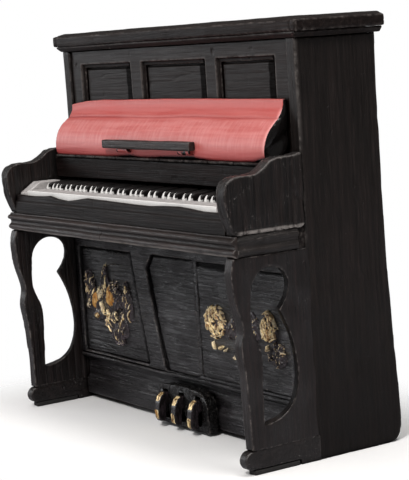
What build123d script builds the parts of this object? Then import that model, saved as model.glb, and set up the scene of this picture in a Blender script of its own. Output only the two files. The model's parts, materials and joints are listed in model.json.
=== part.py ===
"""Miniature upright piano, one-twelfth scale, built as an assembly.

The case stands on two fretted trusses with rounded toe blocks. The top lid, the
curved fallboard, three pedals and the keys are separate, movable pieces. Keys of
one note name share a file as separate solids.

Millimetres. +Z is up, the keyboard faces -Y, and left is -X. The origin is on the
floor, near the middle of the footprint. Depths are measured from the case front,
positive to the rear, so the keyboard's depths are negative.
"""

import os

from build123d import *

os.makedirs("parts", exist_ok=True)

# ---------------------------------------------------------------- shared dimensions
case_front = -2.15         # Y of the case's front edges, where depth is 0
side_out = 62.5            # outer face of the case sides
side_in = 58.5             # inner face of the case sides
side_height = 113.4

lid_rear = 28.6
lid_bottom = 115.0

foot_top = 6.6
bed_bottom, bed_top = 58.0, 63.6
bed_front = -22.3
bed_half = 62.0            # half width of the key bed in front of the case
shelf_top = 80.3
shelf_front = -6.4         # where the shelf meets the nameboard
upper_rear = 3.3           # rear of the upper panel and of the shelf
board_half = 58.3          # half width of the nameboard and the shelf
lower_panel_bottom = 15.6

pedal_axis = (6.0, 7.6)    # depth, z of the rod the pedals turn on
pedal_centre = 4.9         # x of the middle pedal
pedal_spacing = 8.8
pedal_places = {
    "left": pedal_centre - pedal_spacing,
    "middle": pedal_centre,
    "right": pedal_centre + pedal_spacing,
}


# ---------------------------------------------------------------- planes and helpers
def side_plane(x):
    """Local x is depth, local y is height; extrudes to +X."""
    return Plane(origin=(x, case_front, 0), x_dir=(0, 1, 0), z_dir=(1, 0, 0))


def front_plane(depth):
    """Local x is width, local y is height; extrudes towards the player."""
    return Plane(origin=(0, case_front + depth, 0), x_dir=(1, 0, 0), z_dir=(0, -1, 0))


def level(z):
    """Local x is width, local y is depth; extrudes up."""
    return Plane(origin=(0, case_front, z), x_dir=(1, 0, 0), z_dir=(0, 0, 1))


def save(builder, name):
    builder.part.label = name
    export_step(builder.part, "parts/" + name + ".step")


def outer_face(builder, side):
    """The face furthest from the middle on one side: -1 is left, 1 is right."""
    return builder.faces().filter_by(Axis.X).sort_by(Axis.X)[-1 if side > 0 else 0]


def all_but_rear(face):
    """The edges of a level face, without the rearmost one."""
    edges = face.edges()
    rear = edges.sort_by(Axis.Y)[-1]
    return [edge for edge in edges if edge != rear]


def save_board(name, profile, half_width):
    """A full-width board with a constant (depth, z) profile."""
    with BuildPart() as board:
        with BuildSketch(side_plane(-half_width)):
            with BuildLine():
                Polyline(*profile, close=True)
            make_face()
        extrude(amount=2 * half_width)
    save(board, name)


def save_rod(name, axis, radius, half_length, centre_x=0):
    """A round rod along X; axis is (depth, z)."""
    with BuildPart() as rod:
        with BuildSketch(side_plane(centre_x - half_length)):
            with Locations(axis):
                Circle(radius)
        extrude(amount=2 * half_length)
    save(rod, name)


def save_hinge_half(name, first, plate_plane, plate_centre, plate_size, plate_thickness,
                    web_centre, web_size, *, axis, barrel, bore, start, pitch, knuckle):
    """One half of a piano hinge: a plate, and every second knuckle counted from first.

    A web ties each knuckle, of radius barrel and length knuckle, to the plate.
    """
    with BuildPart() as half:
        with BuildSketch(plate_plane):
            with Locations(plate_centre):
                Rectangle(*plate_size)
        extrude(amount=plate_thickness)
        for i in range(first, 9, 2):
            with BuildSketch(side_plane(start + pitch * i)):
                with Locations(web_centre):
                    Rectangle(*web_size)
                with Locations(axis):
                    Circle(barrel)
            extrude(amount=knuckle)
        with BuildSketch(side_plane(-60)):
            with Locations(axis):
                Circle(bore)
        extrude(amount=120, mode=Mode.SUBTRACT)
    save(half, name)


# ---------------------------------------------------------------- case sides
case_depth = 27.2          # near the top
side_flare = 29.8          # greatest depth, near the floor

# (depth, z) round the side, from the top front corner
side_outline = [
    (0, side_height), (0, 0), (case_depth - 1.2, 0), (case_depth + 0.7, 0.7),
    (side_flare - 0.7, 2.2), (side_flare - 0.1, 4.4), (side_flare, 8.0),
    (side_flare - 0.25, 15.0), (side_flare - 0.75, 23.0), (side_flare - 1.3, 32.0),
    (side_flare - 1.8, 42.0), (case_depth + 0.4, 53.0), (case_depth + 0.1, 66.0),
    (case_depth, 84.0), (case_depth, 98.0), (case_depth + 0.2, side_height),
]


def build_side_panel(name, side):
    with BuildPart() as side_panel:
        with BuildSketch(side_plane(min(side * side_in, side * side_out))):
            with BuildLine():
                Polyline(*side_outline, close=True)
            make_face()
        extrude(amount=side_out - side_in)
        chamfer(outer_face(side_panel, side).edges().filter_by(Axis.Z), 0.35)
    save(side_panel, name + "_side_panel")


# ---------------------------------------------------------------- arms
arm_in, arm_out = 58.9, 63.1
arm_top = 83.6             # at the case front
arm_toe = -22.8            # front end of the underside
arm_notch = 1.4            # size of the rounded lower rear corner

# (depth, z) from the case front, over the top and down to the key bed
arm_curve = [
    (0, arm_top), (-5.4, 82.9), (-10.2, 82.2), (-12.6, 80.5), (-15.2, 79.3),
    (-21.4, 79.0), (-24.6, 77.3), (-25.5, 73.6), (-24.9, 69.4), (arm_toe, bed_top),
]


def build_arm(name, side):
    corner_top = bed_top + arm_notch
    with BuildPart() as arm:
        with BuildSketch(side_plane(min(side * arm_in, side * arm_out))):
            with BuildLine():
                Spline(*arm_curve)
                Line((arm_toe, bed_top), (-arm_notch, bed_top))
                ThreePointArc((-arm_notch, bed_top), (-0.41, 64.01), (0, corner_top))
                Line((0, corner_top), (0, arm_top))
            make_face()
        extrude(amount=arm_out - arm_in)
        chamfer(outer_face(arm, side).edges(), 0.3)
    save(arm, name + "_arm")


# ---------------------------------------------------------------- trusses
truss_in, truss_out = 59.0, side_out

# (depth, z) down the front edge
truss_front = [
    (-23.4, bed_bottom), (-24.3, 54.6), (-24.2, 50.0), (-23.5, 45.5), (-22.2, 41.0),
    (-21.9, 38.2), (-22.6, 35.0), (-22.2, 29.0), (-21.7, 22.0), (-21.4, 12.0),
    (-21.2, foot_top),
]
# (depth, z) round the fretted opening: up the front and over, then down the rear
fret_front = [
    (-16.9, 13.0), (-16.7, 19.0), (-16.4, 27.0), (-16.8, 33.4), (-18.6, 38.0),
    (-19.1, 41.2), (-18.7, 46.0), (-17.9, 50.6), (-15.2, 53.8), (-11.6, 54.6),
    (-8.2, 53.0), (-6.7, 50.0), (-7.2, 46.6), (-9.9, 42.6),
]
fret_rear = [
    (-9.9, 42.6), (-7.2, 37.0), (-5.3, 29.0), (-5.5, 21.6), (-8.0, 16.4),
    (-12.4, 13.7), (-16.9, 13.0),
]


def build_truss(name, side):
    with BuildPart() as truss:
        with BuildSketch(side_plane(min(side * truss_in, side * truss_out))):
            with BuildLine():
                Line((0, bed_bottom), truss_front[0])
                Spline(*truss_front)
                Line(truss_front[-1], (0, foot_top))
                Line((0, foot_top), (0, bed_bottom))
            make_face()
            with BuildLine():
                Spline(*fret_front)
                Spline(*fret_rear)
            make_face(mode=Mode.SUBTRACT)
        extrude(amount=truss_out - truss_in)
    save(truss, name + "_truss")


# ---------------------------------------------------------------- feet and pads
toe_tip = {"left": -23.0, "right": -23.7}
pad_top = 1.3
toe_radius = (foot_top - pad_top) / 2
heel_front = -5.6          # behind this the foot reaches the floor


def build_foot(name, side):
    tip = toe_tip[name]
    toe = tip + toe_radius
    with BuildPart() as foot:
        with BuildSketch(side_plane(min(side * truss_in, side * truss_out))):
            with BuildLine():
                Polyline((toe, foot_top), (0, foot_top), (0, 0), (heel_front, 0),
                         (heel_front, pad_top), (toe, pad_top))
                ThreePointArc((toe, pad_top), (tip, pad_top + toe_radius), (toe, foot_top))
            make_face()
        extrude(amount=truss_out - truss_in)
        chamfer(foot.edges().filter_by(GeomType.CIRCLE), 0.4)
    save(foot, name + "_foot")


for side_name, side_sign in (("left", -1), ("right", 1)):
    build_side_panel(side_name, side_sign)
    build_arm(side_name, side_sign)
    build_truss(side_name, side_sign)
    build_foot(side_name, side_sign)

pad_x = (truss_in + truss_out) / 2
pad_depth = -13.3
with BuildPart() as foot_pads:
    with BuildSketch(level(0)):
        with Locations((-pad_x, pad_depth), (pad_x, pad_depth)):
            RectangleRounded(3.4, 15.0, 0.6)
    extrude(amount=pad_top)
save(foot_pads, "foot_pads")

# ---------------------------------------------------------------- bottom board
back_rear = 27.0           # outer face of the back panel
back_thickness = 2.0
floor_bottom, floor_thickness = 0.6, 2.0
floor_top = floor_bottom + floor_thickness
floor_front, floor_rear = 0.4, back_rear - back_thickness
lug_inner, lug_width = 12.4, 2.0    # distance of each lug from the middle pedal
lug_bore = 0.61

# (depth, z) of a bearing lug for the pedal rod
lug_profile = [
    (3.6, floor_top), (8.4, floor_top), (7.6, 8.2), (6.9, 9.2), (5.1, 9.2), (4.4, 8.2),
]

with BuildPart() as bottom_board:
    with BuildSketch(level(floor_bottom)):
        with Locations((0, (floor_front + floor_rear) / 2)):
            Rectangle(2 * side_in, floor_rear - floor_front)
    extrude(amount=floor_thickness)
    for x in (pedal_centre - lug_inner - lug_width, pedal_centre + lug_inner):
        with BuildSketch(side_plane(x)):
            with BuildLine():
                Polyline(*lug_profile, close=True)
            make_face()
        extrude(amount=lug_width)
    with BuildSketch(side_plane(-20)):
        with Locations(pedal_axis):
            Circle(lug_bore)
    extrude(amount=40, mode=Mode.SUBTRACT)
save(bottom_board, "bottom_board")

# ---------------------------------------------------------------- back panel and screws
back_bottom = 3.0
screw_pitch = 37.0
screw_places = [(screw_pitch * k, z) for k in (-1.5, -0.5, 0.5, 1.5) for z in (8.0, 108.5)]

# (radius, depth cut in from the rear face): screw head recess, then through hole
screw_cuts = [(1.0, 0.5), (0.55, back_thickness)]
# (radius, distance in from the rear face, length): head, then shank
screw_steps = [(0.92, 0.02, 0.45), (0.48, 0.2, 2.4)]
slot_length, slot_width = 1.4, 0.22

with BuildPart() as back_panel:
    with BuildSketch(front_plane(back_rear)):
        with Locations((0, (back_bottom + side_height) / 2)):
            Rectangle(2 * side_in, side_height - back_bottom)
    extrude(amount=back_thickness)
    for radius, cut in screw_cuts:
        with BuildSketch(front_plane(back_rear)):
            with Locations(*screw_places):
                Circle(radius)
        extrude(amount=cut, mode=Mode.SUBTRACT)
save(back_panel, "back_panel")

with BuildPart() as back_screws:
    for radius, inset, length in screw_steps:
        with BuildSketch(front_plane(back_rear - inset)):
            with Locations(*screw_places):
                Circle(radius)
        extrude(amount=length)
    # driver slots
    with BuildSketch(front_plane(back_rear)):
        with Locations(*screw_places):
            Rectangle(slot_length, slot_width)
    extrude(amount=0.22, mode=Mode.SUBTRACT)
save(back_screws, "back_screws")

# ---------------------------------------------------------------- cornice frame
cornice_half, cornice_front = 64.1, -1.3
opening_width = 115.0
opening_front, opening_rear = 2.6, 25.2

with BuildPart() as cornice_frame:
    with BuildSketch(level(side_height)):
        with Locations((0, (cornice_front + lid_rear) / 2)):
            Rectangle(2 * cornice_half, lid_rear - cornice_front)
    extrude(amount=lid_bottom - side_height)
    underside = cornice_frame.faces().sort_by(Axis.Z)[0]
    chamfer(all_but_rear(underside), 1.1, 1.0)
    with BuildSketch(level(side_height - 1)):
        with Locations((0, (opening_front + opening_rear) / 2)):
            Rectangle(opening_width, opening_rear - opening_front)
    extrude(amount=5, mode=Mode.SUBTRACT)
save(cornice_frame, "cornice_frame")

# ---------------------------------------------------------------- top lid
lid_half, lid_front = 65.5, -1.8
lid_top = 119.1

with BuildPart() as top_lid:
    with BuildSketch(level(lid_bottom)):
        with Locations((0, (lid_front + lid_rear) / 2)):
            Rectangle(2 * lid_half, lid_rear - lid_front)
    extrude(amount=lid_top - lid_bottom)
    chamfer(all_but_rear(top_lid.faces().sort_by(Axis.Z)[-1]), 1.0, 2.7)
    fillet(all_but_rear(top_lid.faces().sort_by(Axis.Z)[0]), 0.7)
save(top_lid, "top_lid")

# ---------------------------------------------------------------- lid hinge
lid_plate_thickness = 0.25
lid_plate_width = 100.4
lid_plate_plane = front_plane(lid_rear + lid_plate_thickness)
lid_hinge = dict(axis=(29.15, lid_bottom), barrel=0.5, bore=0.27,
                 start=-50, pitch=11.2, knuckle=10.9)

save_hinge_half("lid_hinge_leaf", 0, lid_plate_plane, (0, 114.0), (lid_plate_width, 0.8),
                lid_plate_thickness, (28.73, 114.6), (0.24, 0.9), **lid_hinge)
save_hinge_half("lid_hinge_flap", 1, lid_plate_plane, (0, 116.8), (lid_plate_width, 2.0),
                lid_plate_thickness, (28.73, 115.5), (0.24, 1.0), **lid_hinge)
save_rod("lid_hinge_pin", lid_hinge["axis"], radius=0.25, half_length=50.6)

# ---------------------------------------------------------------- upper panel
upper_thickness = 2.5
window_low, window_high = 84.5, 109.0
window_z = (window_low + window_high) / 2
window_height = window_high - window_low
windows = {"left": (-52.5, -22.3), "centre": (-16.0, 18.7), "right": (24.2, 52.3)}  # x range
lip = 1.15                 # border of each window that holds its inset

# (rear depth of the cut, margin inside the window edge, length towards the player):
# front recess, through opening, rear rebate
window_cuts = [(1.7, 0, 2.0), (upper_rear, lip, 3.0), (upper_rear, 0.6, 0.8)]

with BuildPart() as upper_panel_frame:
    with BuildSketch(front_plane(upper_rear)):
        with Locations((0, (shelf_top + side_height) / 2)):
            Rectangle(2 * side_in - 0.2, side_height - shelf_top)
    extrude(amount=upper_thickness)
    for x0, x1 in windows.values():
        for depth, margin, length in window_cuts:
            with BuildSketch(front_plane(depth)):
                with Locations(((x0 + x1) / 2, window_z)):
                    Rectangle(x1 - x0 - 2 * margin, window_height - 2 * margin)
            extrude(amount=length, mode=Mode.SUBTRACT)
save(upper_panel_frame, "upper_panel_frame")

edge_margin = 0.65         # from the window edge to the inset's flat edge
raised_margin = lip + 0.4  # from the window edge to the inset's raised middle

for name, (x0, x1) in windows.items():
    with BuildPart() as upper_inset:
        with BuildSketch(front_plane(upper_rear)):
            with Locations(((x0 + x1) / 2, window_z)):
                Rectangle(x1 - x0 - 2 * edge_margin, window_height - 2 * edge_margin)
        extrude(amount=0.78)
        with BuildSketch(front_plane(2.6)):
            with Locations(((x0 + x1) / 2, window_z)):
                Rectangle(x1 - x0 - 2 * raised_margin, window_height - 2 * raised_margin)
        extrude(amount=0.5, taper=35)
    save(upper_inset, "upper_inset_" + name)

# ---------------------------------------------------------------- nameboard, shelf
nameboard_front, nameboard_bottom = -7.9, 73.9
nameboard_bevel = 0.3
shelf_bottom = 78.8

save_board("nameboard", [
    (shelf_front, nameboard_bottom), (nameboard_front, nameboard_bottom),
    (nameboard_front, shelf_top - nameboard_bevel),
    (nameboard_front + nameboard_bevel, shelf_top), (shelf_front, shelf_top),
], board_half)

save_board("fallboard_shelf", [
    (shelf_front, shelf_bottom), (upper_rear, shelf_bottom),
    (upper_rear, shelf_top), (shelf_front, shelf_top),
], board_half)

# ---------------------------------------------------------------- fallboard
fall_half = 57.6

# (depth, z) down the front face, then up the hollow of the rear face
fall_front = [
    (-0.9, 97.1), (-1.15, 94.9), (-2.6, 92.6), (-5.6, 89.8), (-7.55, 86.2),
    (-7.75, 82.6), (-7.3, 81.0),
]
fall_rear = [(-5.0, 81.0), (-2.4, 81.9), (-0.5, 83.9), (0.3, 86.8)]

with BuildPart() as fallboard:
    with BuildSketch(side_plane(-fall_half)):
        with BuildLine():
            Spline(*fall_front)
            Line(fall_front[-1], fall_rear[0])
            Spline(*fall_rear, tangents=((1, 0.05), (0.05, 1)))
            Polyline(fall_rear[-1], (0.3, 97.1), fall_front[0])
        make_face()
    extrude(amount=2 * fall_half)
save(fallboard, "fallboard")

# ---------------------------------------------------------------- fallboard hinge
fall_hinge_half = 56.2
fall_leaf_thickness = 0.18
fall_flap_bottom, fall_flap_thickness = 80.82, 0.17
fall_web_length = 0.9
fall_hinge = dict(axis=(-8.3, 80.7), barrel=0.42, bore=0.22,
                  start=-fall_hinge_half, pitch=12.5, knuckle=12.2)

save_hinge_half("fallboard_hinge_leaf", 0, level(shelf_top), (0, -6.5),
                (2 * fall_hinge_half, 2.2), fall_leaf_thickness,
                (-7.9, shelf_top + fall_leaf_thickness / 2),
                (fall_web_length, fall_leaf_thickness), **fall_hinge)
save_hinge_half("fallboard_hinge_flap", 1, level(fall_flap_bottom), (0, -6.4),
                (2 * fall_hinge_half, 2.4), fall_flap_thickness,
                (-7.85, fall_flap_bottom + fall_flap_thickness / 2),
                (fall_web_length, fall_flap_thickness), **fall_hinge)
save_rod("fallboard_hinge_pin", fall_hinge["axis"], radius=0.2, half_length=56.6)

# ---------------------------------------------------------------- music ledge
ledge_half = 24.2
ledge_front, ledge_rear = -10.2, -8.0
ledge_bottom, ledge_top = 83.7, 86.3

with BuildPart() as music_ledge:
    with BuildSketch(side_plane(-ledge_half)):
        with BuildLine():
            Polyline((ledge_front, ledge_bottom), (ledge_rear, ledge_bottom),
                     (ledge_rear, ledge_top), (ledge_front, ledge_top), close=True)
        make_face()
    extrude(amount=2 * ledge_half)
    chamfer(music_ledge.edges().filter_by(Axis.X), 0.3)
save(music_ledge, "music_ledge")

bracket_width = 6.2
bracket_lefts = (-17.2, 16.6)
# (depth, z); rises behind the ledge and turns forward under it
bracket_profile = [
    (-7.6, 82.4), (-7.6, 86.2), (-7.98, 86.2), (-7.98, 83.68),
    (-9.3, 83.68), (-9.3, 83.0), (-8.7, 82.4),
]

with BuildPart() as ledge_brackets:
    for x in bracket_lefts:
        with BuildSketch(side_plane(x)):
            with BuildLine():
                Polyline(*bracket_profile, close=True)
            make_face()
        extrude(amount=bracket_width)
    # seated on the fallboard's curve
    add(fallboard.part, mode=Mode.SUBTRACT)
save(ledge_brackets, "ledge_brackets")

# ---------------------------------------------------------------- key bed
bed_rear, bed_rear_half = 23.4, 58.4    # the part inside the case

with BuildPart() as key_bed:
    with BuildSketch(level(bed_bottom)):
        with BuildLine():
            Polyline((-bed_half, bed_front), (bed_half, bed_front), (bed_half, 0),
                     (bed_rear_half, 0), (bed_rear_half, bed_rear),
                     (-bed_rear_half, bed_rear), (-bed_rear_half, 0),
                     (-bed_half, 0), close=True)
        make_face()
    extrude(amount=bed_top - bed_bottom)
save(key_bed, "key_bed")

slip_top = 69.3
slip_front, slip_rear = -23.2, -21.5

save_board("key_slip", [
    (slip_rear, bed_top), (slip_front, bed_top), (slip_front, 67.3), (-22.9, 67.6),
    (-22.6, 67.6), (-22.6, 68.9), (-22.2, slip_top), (slip_rear, slip_top),
], half_width=58.8)

# (depth, z) of the blocks at the ends of the keyboard
block_profile = [
    (-21.3, bed_top), (-21.3, 69.9), (-16.4, 73.1), (-8.1, 73.1), (-8.1, bed_top),
]
block_spans = [(-58.7, -54.0), (52.9, 58.7)]    # x range

with BuildPart() as key_blocks:
    for x0, x1 in block_spans:
        with BuildSketch(side_plane(x0)):
            with BuildLine():
                Polyline(*block_profile, close=True)
            make_face()
        extrude(amount=x1 - x0)
save(key_blocks, "key_blocks")

rail_half = 54.3           # half width of the balance rail and the rear frame rail
rail_thickness = 2.6       # front to rear
# (x, depth, width, height): front rail, rear rail
frame_rails = [(-0.6, -18.4, 106.4, 3.4), (0, 17.6, 2 * rail_half, 4.9)]

with BuildPart() as key_frame_rails:
    for x, depth, width, height in frame_rails:
        with BuildSketch(level(bed_top)):
            with Locations((x, depth)):
                Rectangle(width, rail_thickness)
        extrude(amount=height)
save(key_frame_rails, "key_frame_rails")

pivot = (-2.0, 68.0)       # depth, z of the bead the keys rock on
pivot_bead = 0.58

with BuildPart() as balance_rail:
    with BuildSketch(side_plane(-rail_half)):
        with BuildLine():
            Polyline((-3.4, bed_top), (-0.6, bed_top), (-0.9, 66.0), (-1.6, 67.7),
                     (-2.4, 67.7), (-3.1, 66.0), close=True)
        make_face()
        with Locations(pivot):
            Circle(pivot_bead)
    extrude(amount=2 * rail_half)
save(balance_rail, "balance_rail")

# ---------------------------------------------------------------- mouldings
moulding_half = 63.3
return_rear = -2.4         # rear end of the side returns

# (depth, z) down the front of the key bed
moulding_profile = [
    (bed_front, bed_bottom), (bed_front, bed_top), (-23.1, bed_top), (-23.1, 63.1),
    (-23.9, 62.9), (-24.35, 62.3), (-24.1, 61.7), (-23.3, 61.4), (-23.1, 60.9),
    (-23.25, 60.3), (-23.9, 59.9), (-24.15, 59.3), (-23.9, 58.6), (-23.2, 58.3),
    (-23.0, bed_bottom),
]
# (distance from the middle, z) down the side of the key bed
return_profile = [
    (bed_half, bed_bottom), (bed_half, bed_top), (62.7, bed_top), (62.7, 63.1),
    (63.1, 62.9), (63.3, 62.3), (63.15, 61.7), (62.75, 61.4), (62.7, 60.9),
    (62.75, 60.3), (63.1, 59.9), (63.25, 59.3), (63.1, 58.6), (62.7, 58.3),
    (62.6, bed_bottom),
]

save_board("front_moulding", moulding_profile, moulding_half)

with BuildPart() as moulding_returns:
    for side in (-1, 1):
        with BuildSketch(front_plane(return_rear)):
            with BuildLine():
                Polyline(*[(side * x, z) for x, z in return_profile], close=True)
            make_face()
        extrude(amount=return_rear - bed_front)
save(moulding_returns, "moulding_returns")

# ---------------------------------------------------------------- keys
key_bottom, key_top = 68.6, 70.8
key_front, key_rear = -21.2, 20.0
key_left = -53.8           # left edge of the lowest key
key_pitch, key_spread = 2.0, 0.0095   # the keys widen slightly towards the treble
white_count = 44
key_gap = 0.12
tail_length, tail_rise = 8.0, 2.6     # raised block at the rear of a white key

sharp_front = -15.4
sharp_width = 1.15
sharp_tail_front = key_rear - 7.0
sharp_tail_top = 73.2

naturals = "DEFGABC"       # the lowest key is a D
# offset of each sharp from the joint between its whites, as a fraction of key_pitch
sharp_shift = {"C": -0.10, "D": 0.10, "F": -0.13, "G": 0.0, "A": 0.13}

# (depth, z) of a sharp, from its lower front corner
sharp_profile = [
    (sharp_front, key_bottom), (sharp_front, 71.3), (sharp_front + 0.9, 72.55),
    (-7.1, 73.05), (-7.1, key_top), (sharp_tail_front, key_top),
    (sharp_tail_front, sharp_tail_top), (key_rear, sharp_tail_top), (key_rear, key_bottom),
]


def key_edge(i):
    """Left edge of white key i."""
    return key_left + key_pitch * i + key_spread * i * i


def sharp_centre(i):
    """Centre of the sharp between white keys i and i + 1, or None."""
    note = naturals[i % 7]
    if note in sharp_shift and 0 <= i < white_count - 1:
        return key_edge(i + 1) + sharp_shift[note] * key_pitch
    return None


def white_shape(i):
    """Plan outline of white key i, and the left and right edges of its tail."""
    left = key_edge(i) + key_gap / 2
    right = key_edge(i + 1) - key_gap / 2
    before, after = sharp_centre(i - 1), sharp_centre(i)
    clearance = sharp_width / 2 + key_gap
    tail_left = left if before is None else before + clearance
    tail_right = right if after is None else after - clearance
    shoulder = sharp_front - key_gap
    outline = [(left, key_front), (right, key_front)]
    if after is not None:
        outline += [(right, shoulder), (tail_right, shoulder)]
    outline += [(tail_right, key_rear), (tail_left, key_rear)]
    if before is not None:
        outline += [(tail_left, shoulder), (left, shoulder)]
    return outline, tail_left, tail_right


for note in naturals:
    with BuildPart() as white_keys:
        for i in range(white_count):
            if naturals[i % 7] != note:
                continue
            outline, tail_left, tail_right = white_shape(i)
            with BuildSketch(level(key_bottom)):
                with BuildLine():
                    Polyline(*outline, close=True)
                make_face()
            extrude(amount=key_top - key_bottom)
            # the weighted tail that lifts the front again
            with BuildSketch(level(key_top)):
                with Locations(((tail_left + tail_right) / 2, key_rear - tail_length / 2)):
                    Rectangle(tail_right - tail_left, tail_length)
            extrude(amount=tail_rise)
    save(white_keys, "white_keys_" + note.lower())

for note in sharp_shift:
    with BuildPart() as sharp_keys:
        for i in range(white_count):
            centre = sharp_centre(i)
            if naturals[i % 7] != note or centre is None:
                continue
            with BuildSketch(side_plane(centre - sharp_width / 2)):
                with BuildLine():
                    Polyline(*sharp_profile, close=True)
                make_face()
            extrude(amount=sharp_width)
    save(sharp_keys, "sharp_keys_" + note.lower())

# ---------------------------------------------------------------- lower panel
lower_panel_width, lower_panel_top = 117.8, 57.9
lower_panel_thickness = 3.1
field_rear = -1.4          # floor of the recesses
field_thickness = 0.9      # of the boards let into them
field_clearance = 0.15

# (x, z) corners of the recesses
lower_windows = {
    "left": [(-56.4, 16.6), (-56.4, 50.8), (-24.0, 50.8), (-16.6, 16.6)],
    "centre": [(-7.6, 16.0), (-12.0, 31.0), (-15.5, 46.6), (-12.2, 51.0),
               (10.2, 51.0), (10.2, 16.0)],
    "right": [(11.9, 16.6), (11.9, 50.8), (56.4, 50.8), (56.4, 16.6)],
}

with BuildPart() as lower_panel:
    with BuildSketch(front_plane(0)):
        with Locations((0, (lower_panel_bottom + lower_panel_top) / 2)):
            Rectangle(lower_panel_width, lower_panel_top - lower_panel_bottom)
    extrude(amount=lower_panel_thickness)
    for corners in lower_windows.values():
        with BuildSketch(front_plane(field_rear)):
            with BuildLine():
                Polyline(*corners, close=True)
            make_face()
        extrude(amount=3.0, mode=Mode.SUBTRACT)
save(lower_panel, "lower_panel")

for name, corners in lower_windows.items():
    with BuildPart() as lower_field:
        with BuildSketch(front_plane(field_rear)):
            with BuildLine():
                Polyline(*corners, close=True)
            make_face()
            offset(amount=-field_clearance, kind=Kind.INTERSECTION)
        extrude(amount=field_thickness)
    save(lower_field, "lower_field_" + name)

# overlapping ellipses: (x, z, x radius, z radius, turn in degrees)
ornament_leaves = {
    "left": [
        (-37.8, 33.5, 5.2, 6.6, 0), (-37.6, 42.3, 2.6, 4.6, 0), (-49.3, 37.6, 3.0, 6.2, 8),
        (-26.6, 33.8, 3.2, 7.4, -8), (-44.2, 33.4, 3.4, 4.4, 20), (-31.6, 36.2, 3.4, 4.0, -20),
        (-36.6, 26.6, 3.0, 5.0, 10), (-29.6, 26.0, 2.8, 4.6, -20), (-43.6, 29.8, 3.4, 2.2, 0),
    ],
    "right": [
        (21.2, 33.8, 6.0, 5.6, 0), (22.0, 27.6, 3.8, 2.6, 0), (30.4, 33.0, 5.6, 4.0, 0),
        (38.4, 35.0, 5.4, 4.6, 0), (47.0, 34.8, 4.6, 5.2, 0), (50.0, 27.8, 4.2, 4.0, 0),
        (38.4, 29.4, 4.6, 2.8, 0),
    ],
}
ornament_thickness = 0.8

for name, leaves in ornament_leaves.items():
    with BuildPart() as ornament:
        with BuildSketch(front_plane(field_rear - field_thickness)):
            for x, z, x_radius, z_radius, turn in leaves:
                with Locations(Location((x, z), turn)):
                    Ellipse(x_radius, z_radius)
        extrude(amount=ornament_thickness)
    save(ornament, "ornament_" + name)

# ---------------------------------------------------------------- bottom rail
# (depth, z), from the lower rear corner
bottom_rail_profile = [
    (0.4, 1.6), (-1.9, 1.6), (-2.3, 2.0), (-2.3, 6.6), (-1.7, 7.4), (-1.2, 7.8),
    (-1.2, 12.6), (-2.2, 13.9), (-3.6, 14.5), (-3.8, 15.2),
    (-3.5, lower_panel_bottom), (0.4, lower_panel_bottom),
]
pedal_opening_z, pedal_opening_height = 7.6, 7.4
pedal_opening_margin = 2.2     # beyond the centres of the outer pedals

with BuildPart() as bottom_rail:
    with BuildSketch(side_plane(-side_in)):
        with BuildLine():
            Polyline(*bottom_rail_profile, close=True)
        make_face()
    extrude(amount=2 * side_in)
    with BuildSketch(front_plane(2)):
        with Locations((pedal_centre, pedal_opening_z)):
            Rectangle(2 * (pedal_spacing + pedal_opening_margin), pedal_opening_height)
    extrude(amount=8, mode=Mode.SUBTRACT)
save(bottom_rail, "bottom_rail")

# ---------------------------------------------------------------- pedal housing
housing_rear, housing_thickness = -2.35, 3.7
housing_slot_z, housing_slot_size = 6.9, (2.9, 8.6)

# (x from the middle pedal, z) over the arch, from lower right to lower left
housing_arch = [
    (13.9, 0.8), (13.9, 6.4), (12.3, 11.5), (7.0, 13.0), (0.0, 13.4),
    (-7.0, 13.0), (-12.2, 11.5), (-13.8, 6.4), (-13.8, 0.8),
]
# (depth, z) of the relief cut along the housing's upper rear
housing_relief = [(0, 12.2), (-2.6, 13.9), (-3.9, 14.4), (-3.9, 16), (0, 16)]

with BuildPart() as pedal_housing:
    arch = [(pedal_centre + x, z) for x, z in housing_arch]
    with BuildSketch(front_plane(housing_rear)):
        with BuildLine():
            Line(arch[-1], arch[0])
            Spline(*arch, tangents=((0, 1), (0, -1)))
        make_face()
    extrude(amount=housing_thickness)
    for x in pedal_places.values():
        with BuildSketch(front_plane(0)):
            with Locations((x, housing_slot_z)):
                Rectangle(*housing_slot_size)
        extrude(amount=8, mode=Mode.SUBTRACT)
    # the bottom rail's cap already fills this space
    with BuildSketch(side_plane(pedal_centre - 14)):
        with BuildLine():
            Polyline(*housing_relief, close=True)
        make_face()
    extrude(amount=28, mode=Mode.SUBTRACT)
save(pedal_housing, "pedal_housing")

# ---------------------------------------------------------------- pedals
pedal_width = 2.4
pedal_boss, pedal_bore = 1.5, 0.65     # radii round the rod

# (depth, z): up the front of the toe, back along the lever, round the block at
# its rear end, and forward underneath
pedal_profile = [
    (-7.9, 1.85), (-8.9, 2.1), (-9.5, 3.2), (-9.6, 5.0), (-9.2, 7.6), (-8.3, 9.6),
    (-7.0, 10.5), (-5.4, 10.5), (-3.6, 9.7), (-2.0, 9.2), (16.0, 8.6), (16.0, 11.0),
    (23.0, 11.0), (23.0, 4.2), (16.0, 4.2), (16.0, 6.6), (-3.4, 6.8), (-5.4, 7.4),
    (-6.5, 6.6), (-7.0, 4.4), (-7.0, 2.8), (-7.2, 2.1),
]

for name, x in pedal_places.items():
    with BuildPart() as pedal:
        with BuildSketch(side_plane(x - pedal_width / 2)):
            with BuildLine():
                Polyline(*pedal_profile, close=True)
            make_face()
        extrude(amount=pedal_width)
        with BuildSketch(side_plane(x - pedal_width / 2)):
            with Locations(pedal_axis):
                Circle(pedal_boss)
        extrude(amount=pedal_width)
        with BuildSketch(side_plane(x - 2.0)):
            with Locations(pedal_axis):
                Circle(pedal_bore)
        extrude(amount=4, mode=Mode.SUBTRACT)
    save(pedal, name + "_pedal")

save_rod("pedal_rod", pedal_axis, radius=0.6, half_length=14.8, centre_x=pedal_centre)
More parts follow.
